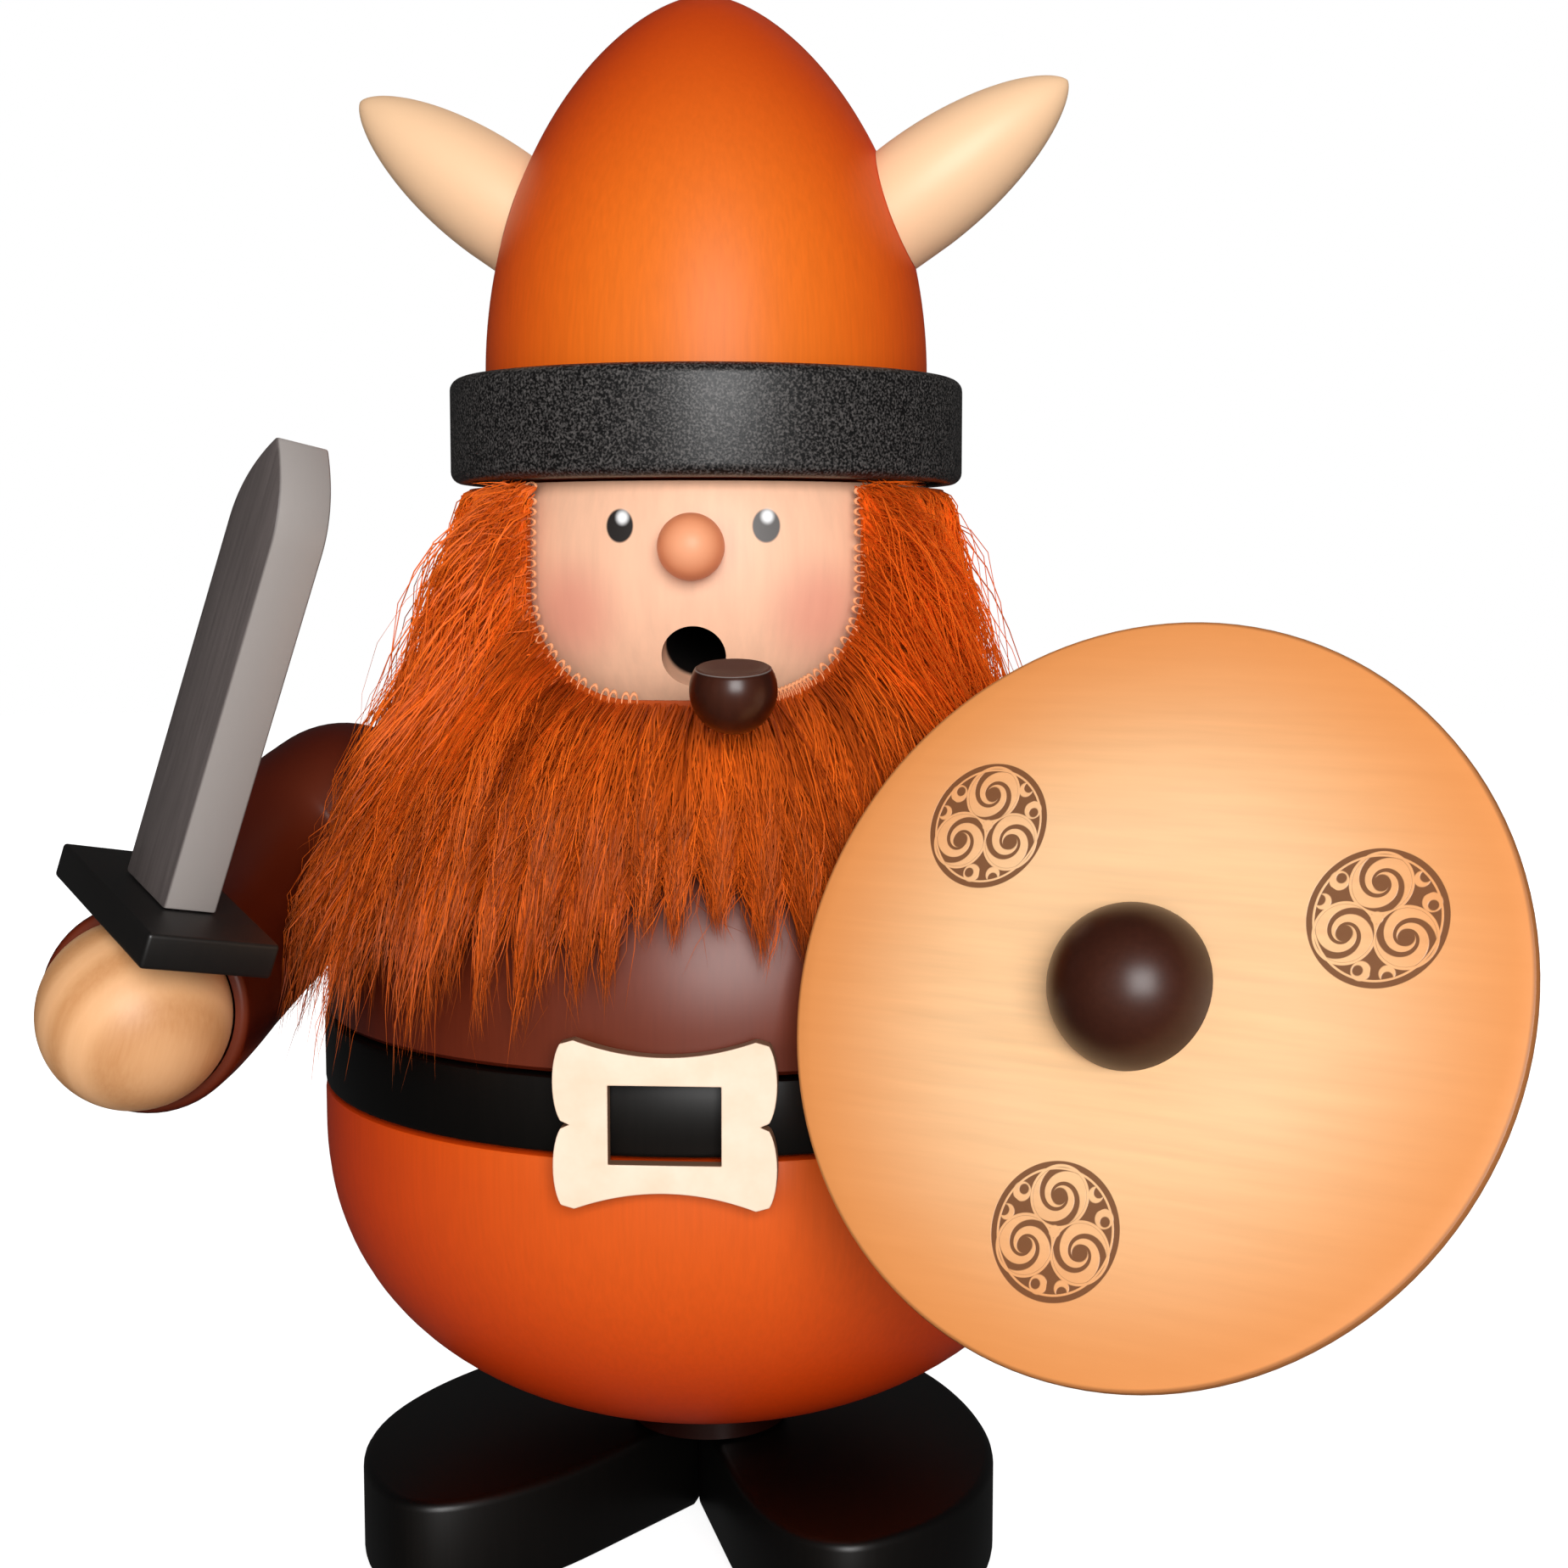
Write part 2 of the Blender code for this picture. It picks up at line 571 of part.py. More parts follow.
def make_hand(side, finish, figure):
    """Turned ball with a small flat for what it carries."""
    across, through, along = sword_axes() if side < 0 else shield_axes()
    shape = ball_shape(HAND_RADIUS, SMALL_SEGMENTS, 9, HAND_FLAT)
    hand = add_object("hand_left" if side > 0 else "hand_right", shape, finish, figure)
    hand.matrix_local = frame_from(hand_place(side), across, through, along)


def make_sword(blade_finish, guard_finish, figure):
    """A cross bar on the hand's flat, and a board with a pointed round end on the bar."""
    across, through, along = sword_axes()
    bar = [(x * GUARD_LENGTH / 2, y * GUARD_WIDTH / 2)
           for x, y in ((-1, -1), (1, -1), (1, 1), (-1, 1))]
    shape = prism_shape(bar, GUARD_THICKNESS)
    bmesh.ops.bevel(shape, geom=shape.edges[:], offset=0.35 * MM, segments=1, affect="EDGES")
    guard = add_object("sword_guard", shape, guard_finish, figure)
    guard_base = hand_place(-1) + along * (HAND_FLAT + GAP)
    guard.matrix_local = frame_from(guard_base, across, through, along)
    cut(guard, add_object("guard_cope", sleeve_shape(-1, GAP), None, figure))

    straight = BLADE_LENGTH - BLADE_TIP
    half = BLADE_WIDTH / 2
    outline = [(-half, 0), (half, 0)]
    arch = []
    for share in steps(0, 1, 6):
        arch.append((half * (1 - share ** 2.1), straight + BLADE_TIP * share))
    outline += arch + [(-x, y) for x, y in reversed(arch[:-1])]
    board = prism_shape(outline, BLADE_THICKNESS)
    bmesh.ops.translate(board, verts=board.verts, vec=(0, 0, -BLADE_THICKNESS / 2))
    blade = add_object("sword_blade", board, blade_finish, figure)
    blade_base = guard_base + along * (GUARD_THICKNESS + GAP)
    blade.matrix_local = frame_from(blade_base, across, along, across.cross(along))


def make_shield(shield_finish, boss_finish, figure):
    """Turned lens-shaped disc on the left hand, with a half ball on its front."""
    right, up, out = shield_axes()
    place = hand_place(1) + out * (HAND_FLAT + GAP)
    rim_base = SHIELD_BACK
    rim_top = SHIELD_BACK + SHIELD_RIM
    pad = 5 * MM
    profile = [(0, 0), (pad, 0)]
    for share in steps(0, 1, 4)[1:]:
        profile.append((pad + (SHIELD_RADIUS - pad) * share, rim_base * share ** 0.8))
    for share in steps(1, 0, 4):
        profile.append((SHIELD_RADIUS * share, rim_top + SHIELD_FRONT * (1 - share ** 2)))
    disc = add_object("shield", turned_shape(profile, SEGMENTS, False), shield_finish, figure)
    disc.matrix_local = frame_from(place, right, up, out)
    boss_profile = [(0, 0)]
    boss_profile += [(BOSS_RADIUS * math.cos(angle), BOSS_RADIUS * math.sin(angle))
                     for angle in steps(0, math.pi / 2, 5)]
    boss = add_object("shield_boss", turned_shape(boss_profile, 20, False), boss_finish, figure)
    front = rim_top + SHIELD_FRONT + GAP
    boss.matrix_local = frame_from(place + out * front, right, up, out)


def make_helmet(finish, band_finish, horn_finish, figure):
    """Turned egg in a black ring, with a spindle horn on each side."""
    egg_base = HELMET_BASE + HELMET_STRAIGHT
    top = HELMET_BASE + HELMET_HEIGHT
    heights = [egg_base + (top - egg_base) * math.sin(angle) for angle in steps(0, math.pi / 2, 9)]
    profile = [(0, HELMET_BASE), (HELMET_RADIUS, HELMET_BASE)]
    profile += [(helmet_radius(height), height) for height in heights]
    helmet = turned_shape(profile, SEGMENTS, False)
    add_object("helmet", helmet, finish, figure)
    inner = HELMET_RADIUS + GAP
    band = [(inner, HELMET_BASE)]
    band_top = HELMET_BASE + BAND_HEIGHT
    for centre, first in ((HELMET_BASE + BAND_EDGE, -math.pi / 2), (band_top - BAND_EDGE, 0)):
        for angle in steps(first, first + math.pi / 2, 1):
            band.append((BAND_RADIUS - BAND_EDGE + BAND_EDGE * math.cos(angle),
                         centre + BAND_EDGE * math.sin(angle)))
    band.append((inner, band_top))
    add_object("helmet_band", turned_shape(band, SEGMENTS, True), band_finish, figure)
    cope_heights = steps(egg_base - 6 * MM, top, 22)
    cope = [(0, cope_heights[0])]
    cope += [(helmet_radius(height) + GAP, height) for height in cope_heights]
    cope[-1] = (0, top + GAP)
    add_object("helmet_cope", turned_shape(cope, SEGMENTS, False), None, figure)
    for side in (-1, 1):
        make_horn(side, horn_finish, figure)


def make_horn(side, finish, figure):
    """Spindle horn; its inner end is coped to the helmet."""
    hidden = 2.5 * HORN_RADIUS
    half_length = HORN_LENGTH - HORN_ROOT
    profile = [(0, -hidden)]
    for place in steps(-hidden, HORN_ROOT, 3):
        profile.append((HORN_RADIUS * (0.97 if place < 0 else 1.0), place))
    for angle in steps(0, math.pi / 2, 8)[1:]:
        share = math.sin(angle)
        profile.append((HORN_RADIUS * max(0.0, 1 - share ** 2) ** 0.75, HORN_ROOT + half_length * share))
    name = "horn_left" if side > 0 else "horn_right"
    horn = add_object(name, turned_shape(profile, SMALL_SEGMENTS, False), finish, figure)
    height = HELMET_BASE + HORN_HEIGHT
    root = Vector((side * helmet_radius(height), 0, height))
    out = Vector((side * math.cos(HORN_RISE), 0, math.sin(HORN_RISE)))
    horn.matrix_local = Matrix.Rotation(HORN_TURN, 4, "Z") @ frame_from(
        root, out.cross(Vector((0, 1, 0))) * -1, (0, 1, 0), out)
    cut(horn, bpy.data.objects["helmet_cope"])


def hair_inside(height):
    """Inside of the hair: it lies on the head and on the upper body."""
    return max(head_radius(height), upper_radius(height)) + HAIR_CLEARANCE


def hair_outside(height):
    """Outside of the hair, spreading downwards and then lying on the chest."""
    spread = HAIR_TOP_RADIUS + HAIR_SPREAD * (HEAD_TOP - height)
    return min(spread, upper_radius(height) + HAIR_ON_CHEST + HAIR_CLEARANCE)


def beard_limit():
    """Angle from the front at which the beard would touch an arm."""
    limit = math.pi
    reach = UPPER_RADIUS + HAIR_ON_CHEST + HAIR_CLEARANCE
    for place, _, radius in arm_path(1, 24):
        distance = math.hypot(place.x, place.y)
        clear = radius + 2 * HAIR_CLEARANCE
        if abs(distance - reach) < clear:
            spread = (distance ** 2 + reach ** 2 - clear ** 2) / (2 * distance * reach)
            limit = min(limit, math.atan2(place.x, -place.y) - math.acos(min(1.0, spread)))
    return limit


def behind_arm():
    """Angle from the front at which the hair may hang down again behind an arm."""
    shoulder = shoulder_place(1)
    return SHOULDER_TURN + math.asin((SHOULDER_RADIUS + 2 * MM) / shoulder.xy.length)


def hair_columns():
    """Angle, hem height and groove of each column of the hair, round the figure."""
    limit = beard_limit()
    behind = behind_arm()
    front = HELMET_BASE - BEARD_LENGTH
    back = HELMET_BASE - BACK_HAIR_LENGTH
    half = []
    for index, angle in enumerate(steps(0, limit, 2 * BEARD_LOCKS)):
        side_rise = 0.35 * LOCK_RISE * (angle / limit) ** 2
        half.append((angle, front + (index % 2) * LOCK_RISE + side_rise, index % 2))
    for share in steps(0, 1, 6)[1:-1]:
        half.append((limit + (behind - limit) * share, front + (back - front) * share, 0))
    for index, angle in enumerate(steps(behind, math.pi, 2 * BACK_LOCKS)):
        half.append((angle, back + (index % 2) * LOCK_RISE, index % 2))
    mirrored = [(-angle, hem, valley) for angle, hem, valley in reversed(half[1:-1])]
    return half + mirrored


def make_hair(finish, figure):
    """Beard and hair in one piece: a shell with grooved locks, open for the face and arms."""
    neck = UPPER_TOP + 2 * GAP
    chest = UPPER_TOP - 7.5 * MM
    upper_rows = steps(HEAD_TOP - GAP, neck, 4) + steps(neck, chest, 3)[1:]
    rows = len(upper_rows) + 2
    shape = bmesh.new()
    outside, inside = [], []
    for angle, hem, valley in hair_columns():
        outer, inner = [], []
        for height in upper_rows + steps(chest, hem, 3)[1:]:
            share = (HEAD_TOP - height) / (HEAD_TOP - hem)
            near = hair_inside(height)
            bulk = hair_outside(height) - near - valley * LOCK_GROOVE * min(1.0, 2 * share)
            thin = 1 - 0.75 * share ** 4
            reach = near + max(HAIR_TIP, bulk * thin)
            outer.append(shape.verts.new(round_about(angle, reach, height)))
            inner.append(shape.verts.new(round_about(angle, near, height)))
        outside.append(outer)
        inside.append(inner)
    count = len(outside)
    for index in range(count):
        after = (index + 1) % count
        for row in range(rows):
            shape.faces.new((outside[index][row], outside[index][row + 1],
                             outside[after][row + 1], outside[after][row]))
            shape.faces.new((inside[after][row], inside[after][row + 1],
                             inside[index][row + 1], inside[index][row]))
        shape.faces.new((outside[after][0], inside[after][0], inside[index][0], outside[index][0]))
        shape.faces.new((outside[index][-1], inside[index][-1], inside[after][-1], outside[after][-1]))
    hair = add_object("hair_and_beard", shape, finish, figure)

    low = HEAD_CENTRE - FACE_DROP
    high = HEAD_TOP + 10 * MM
    outline = [(FACE_HALF_WIDTH, high), (-FACE_HALF_WIDTH, high)]
    for side, first in ((-1, math.pi), (1, 1.5 * math.pi)):
        for angle in steps(first, first + math.pi / 2, 4):
            outline.append((side * (FACE_HALF_WIDTH - FACE_CORNER) + FACE_CORNER * math.cos(angle),
                            low + FACE_CORNER + FACE_CORNER * math.sin(angle)))
    window = add_object("face_window", prism_shape(outline, 3 * HEAD_RADIUS), None, figure)
    window.matrix_local = face_frame(0, 0, 0)
    cut(hair, window)
    shoulder_top = shoulder_place(1).z + SHOULDER_RADIUS + 2 * HAIR_CLEARANCE
    for side, name in ((-1, "right"), (1, "left")):
        wedge = [(0.0, 0.0)]
        for angle in steps(beard_limit(), behind_arm(), 4):
            corner = round_about(side * angle, 2 * UPPER_RADIUS, 0)
            wedge.append((corner.x, corner.y))
        opening = prism_shape(wedge, shoulder_top)
        cut(hair, add_object("arm_opening_" + name, opening, None, figure))


def centre_on_ground(figure):
    """Move the figure so that its outline on the ground is centred on the origin."""
    bpy.context.view_layer.update()
    graph = bpy.context.evaluated_depsgraph_get()
    corners = []
    for item in bpy.context.scene.objects:
        if item.type != "MESH" or item.hide_render:
            continue
        solid = item.evaluated_get(graph)
        corners += [solid.matrix_world @ point.co for point in solid.data.vertices]
    for axis in (0, 1):
        values = [corner[axis] for corner in corners]
        figure.location[axis] = -(min(values) + max(values)) / 2


def main():
    for item in list(bpy.data.objects):
        bpy.data.objects.remove(item, do_unlink=True)
    figure = bpy.data.objects.new("figure", None)
    bpy.context.scene.collection.objects.link(figure)

    black_satin = material("black_satin_stain", (0.02, 0.02, 0.022), 0.4)
    orange_stain = material("orange_stained_wood", (0.62, 0.16, 0.03), 0.42)
    brown_stain = material("brown_stained_wood", (0.14, 0.03, 0.015), 0.42)
    pale_wood = material("pale_maple", (0.86, 0.66, 0.45), 0.5)
    nose_wood = material("peach_lacquered_wood", (0.8, 0.33, 0.17), 0.45)
    honey_wood = material("honey_stained_wood", (0.8, 0.43, 0.16), 0.45)
    dark_wood = material("dark_brown_lacquer", (0.05, 0.016, 0.012), 0.35)
    speckled_black = material("speckled_black_paint", (0.03, 0.03, 0.03), 0.5)
    plywood = material("pale_plywood", (0.88, 0.68, 0.5), 0.6)
    fur = material("rust_fur", (0.5, 0.1, 0.015), 0.8)
    grey_paint = material("grey_painted_wood", (0.25, 0.23, 0.23), 0.5)

    for side in (-1, 1):
        make_shoe(side, black_satin, figure)
    make_lower_body(orange_stain, figure)
    make_belt(black_satin, figure)
    make_buckle(plywood, figure)
    make_upper_body(brown_stain, figure)
    make_head(pale_wood, figure)
    make_nose(nose_wood, figure)
    make_pipe(dark_wood, figure)
    make_hair(fur, figure)
    make_helmet(orange_stain, speckled_black, pale_wood, figure)
    make_body_cope(figure)
    for side in (-1, 1):
        make_arm(side, brown_stain, figure)
        make_hand(side, pale_wood, figure)
    make_sword(grey_paint, black_satin, figure)
    make_shield(honey_wood, dark_wood, figure)
    centre_on_ground(figure)


main()
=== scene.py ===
"""Looks of the turned wooden viking incense smoker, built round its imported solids."""

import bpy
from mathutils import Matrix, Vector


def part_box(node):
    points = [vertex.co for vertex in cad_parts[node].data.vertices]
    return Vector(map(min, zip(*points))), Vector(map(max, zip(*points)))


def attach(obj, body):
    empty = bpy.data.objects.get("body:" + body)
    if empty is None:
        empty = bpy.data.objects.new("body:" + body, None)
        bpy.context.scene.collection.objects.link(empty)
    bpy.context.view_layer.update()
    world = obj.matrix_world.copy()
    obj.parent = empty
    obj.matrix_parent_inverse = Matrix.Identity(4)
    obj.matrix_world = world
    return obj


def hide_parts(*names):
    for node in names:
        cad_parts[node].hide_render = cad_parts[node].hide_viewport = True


bl_info = {
    "name": "Viking incense smoker",
    "version": (1, 0, 0),
    "blender": (4, 5, 0),
    "location": "3D View > Sidebar > Smoker",
    "description": "Turned, stained and furred pieces of a viking incense smoker",
    "category": "Object",
}

import math

import bpy
import numpy as np
from bpy.props import FloatProperty, FloatVectorProperty, IntProperty, PointerProperty
from mathutils import Matrix, Vector

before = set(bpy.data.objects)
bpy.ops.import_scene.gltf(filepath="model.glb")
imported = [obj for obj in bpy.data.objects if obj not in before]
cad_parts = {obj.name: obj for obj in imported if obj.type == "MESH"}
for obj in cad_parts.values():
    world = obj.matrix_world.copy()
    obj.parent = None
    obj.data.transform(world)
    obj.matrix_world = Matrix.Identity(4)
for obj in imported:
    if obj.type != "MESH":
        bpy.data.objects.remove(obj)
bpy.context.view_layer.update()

MM = 0.001
GAP = 0.3 * MM

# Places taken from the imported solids
HELMET_LOW, HELMET_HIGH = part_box("helmet")
AXIS = Vector(((HELMET_LOW.x + HELMET_HIGH.x) / 2, (HELMET_LOW.y + HELMET_HIGH.y) / 2, 0))
FACE_TURN = math.radians(2)


def span(node):
    """Lowest and highest Z of a solid."""
    low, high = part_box(node)
    return low.z, high.z


def steps(start, end, count):
    """Evenly spaced values, both ends included."""
    return [start + (end - start) * index / count for index in range(count + 1)]


LOWER_BASE, LOWER_RIM = span("lower_body")
# The bowl of the lower body ends a little higher than its solid does
UNDERSIDE = LOWER_BASE + 3.0 * MM
BELT_BASE, BELT_TOP = span("belt")
BELT_SEAT = BELT_BASE - GAP
UPPER_BASE, UPPER_TOP = span("upper_body")
HEAD_BASE, HEAD_TOP = span("head")
HEAD_CENTRE = UPPER_TOP + 16.7 * MM
HELMET_BASE, HELMET_TOP = span("helmet")
BAND_TOP = span("helmet_band")[1]

# Heights where the straight rims end and the rounded shapes begin
BOWL_TOP = BELT_SEAT - 3.6 * MM
UPPER_EGG = UPPER_BASE + 2.5 * MM
HELMET_EGG = HELMET_BASE + 11 * MM

HORN_HEIGHT = HELMET_BASE + 28.1 * MM
# From the cuff to the centre of a hand, and on to the flat under the sword or the shield
HAND_OUT = 2 * MM
HAND_FLAT = 8.2 * MM
# The lower body stands on a short foot, and the shoes lie a little to one side of it
FOOT_RADIUS = 8.2 * MM
SHOE_SHIFT = -1.3 * MM


def linear(code):
    """An sRGB hex colour as linear red, green and blue."""
    found = []
    for place in (1, 3, 5):
        value = int(code[place:place + 2], 16) / 255
        found.append(value / 12.92 if value <= 0.04045 else ((value + 0.055) / 1.055) ** 2.4)
    return tuple(found)


def size(name, text, millimetres):
    """A length of the panel."""
    return FloatProperty(name=name, description=text, default=millimetres * MM, unit="LENGTH",
                         subtype="DISTANCE", precision=5)


def colour(name, text, code):
    """A colour of the panel."""
    return FloatVectorProperty(name=name, description=text, default=linear(code), size=3,
                               subtype="COLOR", min=0, max=1)


class SmokerSizes(bpy.types.PropertyGroup):
    lower_radius: size("Lower body", "Radius of the lower body", 40.5)
    upper_radius: size("Upper body", "Radius of the upper body", 40.1)
    head_radius: size("Head", "Radius of the head", 24.5)
    mouth_radius: size("Mouth", "Radius of the mouth bore", 3.1)
    helmet_radius: size("Helmet", "Radius of the helmet at its rim", 23)
    band_radius: size("Helmet band", "Outer radius of the helmet band", 26.7)
    horn_radius: size("Horn", "Radius of a horn where it is thickest", 6.05)
    horn_length: size("Horn length", "Horn from the helmet to the tip", 21)
    hand_radius: size("Hand", "Radius of a hand", 8.5)
    sleeve_radius: size("Sleeve", "Radius of a sleeve at the shoulder", 10.6)
    shield_radius: size("Shield", "Radius of the shield", 31.9)
    boss_radius: size("Boss", "Radius of the shield's boss", 6.9)
    roundel_radius: size("Roundel", "Radius of an engraved roundel", 5.6)
    hair_width: size("Hair", "Radius of one hair at its root", 0.09)
    hair_count: IntProperty(name="Hairs", description="Number of hairs in the fur", default=36000,
                            min=100, max=40000)


class SmokerColours(bpy.types.PropertyGroup):
    helmet_stain: colour("Helmet stain", "Orange stain of the helmet", "#f27c22")
    lower_stain: colour("Lower body stain", "Orange red stain of the lower body", "#e8641c")
    brown_stain: colour("Brown stain", "Red brown stain of the upper body and sleeves", "#75311a")
    black_stain: colour("Black stain", "Black stain of the belt and the shoes", "#171412")
    pale_wood: colour("Pale wood", "Bare wood of the face, hands and horns", "#f8c2a0")
    peach_stain: colour("Peach stain", "Stain of the nose", "#fab089")
    honey_stain: colour("Honey stain", "Stain of the shield", "#f5c08a")
    dark_brown: colour("Dark brown", "Lacquer of the boss and the pipe", "#482519")
    blade_grey: colour("Blade grey", "Paint of the sword's blade", "#5a5250")
    fur_orange: colour("Fur", "Rust orange of the fur", "#e25512")


def sizes():
    return bpy.context.scene.smoker_sizes


def colours():
    return bpy.context.scene.smoker_colours


# Nodes and materials


def node(tree, kind, inputs=None, **settings):
    """Add a node with its settings; an input is either a value or a socket to link."""
    made = tree.nodes.new(kind)
    for name, value in settings.items():
        setattr(made, name, value)
    for key, value in (inputs or {}).items():
        if isinstance(value, bpy.types.NodeSocket):
            tree.links.new(value, made.inputs[key])
        else:
            made.inputs[key].default_value = value
    return made


def new_material(name, roughness, coat=0.0, coat_roughness=0.25, specular=0.5):
    """An empty Principled material with the values that are the same all over it."""
    made = bpy.data.materials.new(name)
    made.use_nodes = True
    shader = made.node_tree.nodes["Principled BSDF"]
    shader.inputs["Roughness"].default_value = roughness
    shader.inputs["IOR"].default_value = 1.5
    shader.inputs["Specular IOR Level"].default_value = specular
    shader.inputs["Coat Weight"].default_value = coat
    shader.inputs["Coat Roughness"].default_value = coat_roughness
    return made, made.node_tree, shader


def shade(rgb, factor):
    """A colour made darker or lighter."""
    return (*[min(1.0, channel * factor) for channel in rgb], 1.0)


def paint(code):
    """A hex colour as a socket takes it."""
    return (*linear(code), 1.0)


def attribute(tree, name):
    """A vector stored for each point of the mesh."""
    return node(tree, "ShaderNodeAttribute", attribute_name=name).outputs["Vector"]


def split(tree, vector):
    """The X, Y and Z of a vector."""
    return node(tree, "ShaderNodeSeparateXYZ", {"Vector": vector}).outputs


def own_height(tree):
    """Height of each point on the piece as it came off the lathe."""
    return split(tree, attribute(tree, "own_place"))["Z"]


def pattern_place(tree, repeat, turn=(0, 0, 0)):
    """Places on the piece for a pattern that repeats after so many millimetres along X, Y and Z."""
    scale = tuple(1 / (value * MM) for value in repeat)
    return node(tree, "ShaderNodeMapping", {"Vector": attribute(tree, "own_place"), "Scale": scale,
                                            "Rotation": turn}).outputs["Vector"]


def noise(tree, repeat, turn=(0, 0, 0), detail=2.0, roughness=0.5):
    """Soft random spots of a size in millimetres along X, Y and Z."""
    return node(tree, "ShaderNodeTexNoise", {
        "Vector": pattern_place(tree, repeat, turn), "Scale": 1.0, "Detail": detail,
        "Roughness": roughness}).outputs["Fac"]


def grain(tree, width, length, turn=(0, 0, 0), detail=3.0):
    """Streaks along Z: width across the fibres and length along them, in millimetres."""
    return noise(tree, (width, width, length), turn, detail, 0.6)


def ramp(tree, value, low, high, first, last):
    """Blend from one colour to another while a value runs from low to high."""
    made = node(tree, "ShaderNodeValToRGB", {"Fac": value})
    made.color_ramp.elements[0].position = low
    made.color_ramp.elements[0].color = first
    made.color_ramp.elements[1].position = high
    made.color_ramp.elements[1].color = last
    return made.outputs["Color"]


def maths(tree, kind, *values, clamp=False):
    """One step of arithmetic."""
    return node(tree, "ShaderNodeMath", dict(enumerate(values)), operation=kind,
                use_clamp=clamp).outputs[0]


def times(tree, *values):
    """Product of two or more values."""
    product = values[0]
    for value in values[1:]:
        product = maths(tree, "MULTIPLY", product, value)
    return product


def lay(tree, base, area, over, strength=1.0):
    """Lay a colour over the base where an area is 1, as strongly as told."""
    return node(tree, "ShaderNodeMix", {0: times(tree, area, strength), 6: base, 7: over},
                data_type="RGBA").outputs[2]


def distance(tree, place, stretch=(1, 1, 1)):
    """Distance of each point from a place on the piece, with its axes stretched or left out."""
    away = attribute(tree, "own_place")
    for kind, value in (("SUBTRACT", place), ("MULTIPLY", stretch)):
        away = node(tree, "ShaderNodeVectorMath", {0: away, 1: value}, operation=kind).outputs[0]
    return node(tree, "ShaderNodeVectorMath", {0: away}, operation="LENGTH").outputs["Value"]


def soft_step(tree, value, low, high):
    """0 below low and 1 above high, smooth between."""
    return node(tree, "ShaderNodeMapRange", {"Value": value, "From Min": low, "From Max": high},
                interpolation_type="SMOOTHSTEP").outputs["Result"]


def finish(tree, shader, base, height=None, depth=0.02, strength=0.35):
    """Join the colour, and a bump of a depth in millimetres, to the shader."""
    tree.links.new(base, shader.inputs["Base Color"])
    if height is not None:
        bump = node(tree, "ShaderNodeBump", {"Height": height, "Distance": depth * MM,
                                             "Strength": strength})
        tree.links.new(bump.outputs["Normal"], shader.inputs["Normal"])


def stained_wood(name, stain, roughness=0.4, contrast=0.2, coat_ior=1.36):
    """Pale close-grained wood under a stained satin lacquer, which looks deeper at a slant."""
    made, tree, shader = new_material(name, 0.6, 1.0, roughness, specular=0.1)
    shader.inputs["Coat IOR"].default_value = coat_ior
    shader.inputs["Coat Tint"].default_value = (*stain, 1)
    fibres = grain(tree, 0.45, 9)
    clouds = grain(tree, 7, 16, detail=2.0)
    wood = linear("#f6f1ea")
    base = ramp(tree, fibres, 0.3, 0.7, shade(wood, 1 - contrast), shade(wood, 1))
    base = lay(tree, base, clouds, shade(wood, 1 - 1.3 * contrast), 0.4)
    return made, tree, shader, base, fibres


def plain_stain(*settings, **more):
    """Stained wood with nothing else on it."""
    made, tree, shader, base, fibres = stained_wood(*settings, **more)
    finish(tree, shader, base, fibres)
    return made


# Modelling


# Edges that turn by more degrees than this stay sharp
SHARP = 35


def nothing_selected():
    """Leave edit mode and select nothing, before the next operator."""
    if bpy.context.object is not None and bpy.context.object.mode != "OBJECT":
        bpy.ops.object.mode_set(mode="OBJECT")
    bpy.ops.object.select_all(action="DESELECT")


def only(piece):
    """Select one piece alone."""
    nothing_selected()
    piece.select_set(True)
    bpy.context.view_layer.objects.active = piece


def smooth(piece, angle=SHARP):
    """Shade smoothly over edges that turn by less than an angle in degrees."""
    only(piece)
    bpy.ops.object.shade_smooth_by_angle(angle=math.radians(angle))


def drawn(name, points):
    """Start a piece with a line through points, and leave it selected in edit mode."""
    nothing_selected()
    bpy.ops.mesh.primitive_plane_add(size=MM, location=(0, 0, 0))
    piece = bpy.context.object
    piece.name = name
    bpy.ops.object.mode_set(mode="EDIT")
    bpy.ops.mesh.select_all(action="SELECT")
    bpy.ops.mesh.merge(type="CENTER")
    bpy.ops.transform.translate(value=points[0])
    for near, far in zip(points, points[1:]):
        step = tuple(end - start for start, end in zip(near, far))
        bpy.ops.mesh.extrude_vertices_move(TRANSFORM_OT_translate={"value": step})
    bpy.ops.mesh.select_all(action="SELECT")
    return piece


def turned(name, profile, segments=96):
    """Turn a profile of radius and height pairs round Z, as on a lathe."""
    piece = drawn(name, [(radius, 0, height) for radius, height in profile])
    bpy.ops.mesh.spin(steps=segments, angle=math.tau, use_auto_merge=True, center=(0, 0, 0),
                      axis=(0, 0, 1))
    bpy.ops.mesh.select_all(action="SELECT")
    bpy.ops.mesh.remove_doubles(threshold=0.002 * MM)
    bpy.ops.mesh.normals_make_consistent(inside=False)
    bpy.ops.object.mode_set(mode="OBJECT")
    smooth(piece)
    return piece


def board(name, outline, thickness):
    """Saw a board from an outline in XY; its underside is at Z = 0."""
    piece = drawn(name, [(x, y, 0) for x, y in outline])
    bpy.ops.mesh.edge_face_add()
    bpy.ops.mesh.extrude_region_move(TRANSFORM_OT_translate={"value": (0, 0, thickness)})
    bpy.ops.mesh.select_all(action="SELECT")
    bpy.ops.mesh.normals_make_consistent(inside=False)
    bpy.ops.object.mode_set(mode="OBJECT")
    return piece


def rod(name, radius, low, high, segments):
    """A plain round rod, for a drill."""
    return turned(name, [(0, low), (radius, low), (radius, high), (0, high)], segments)


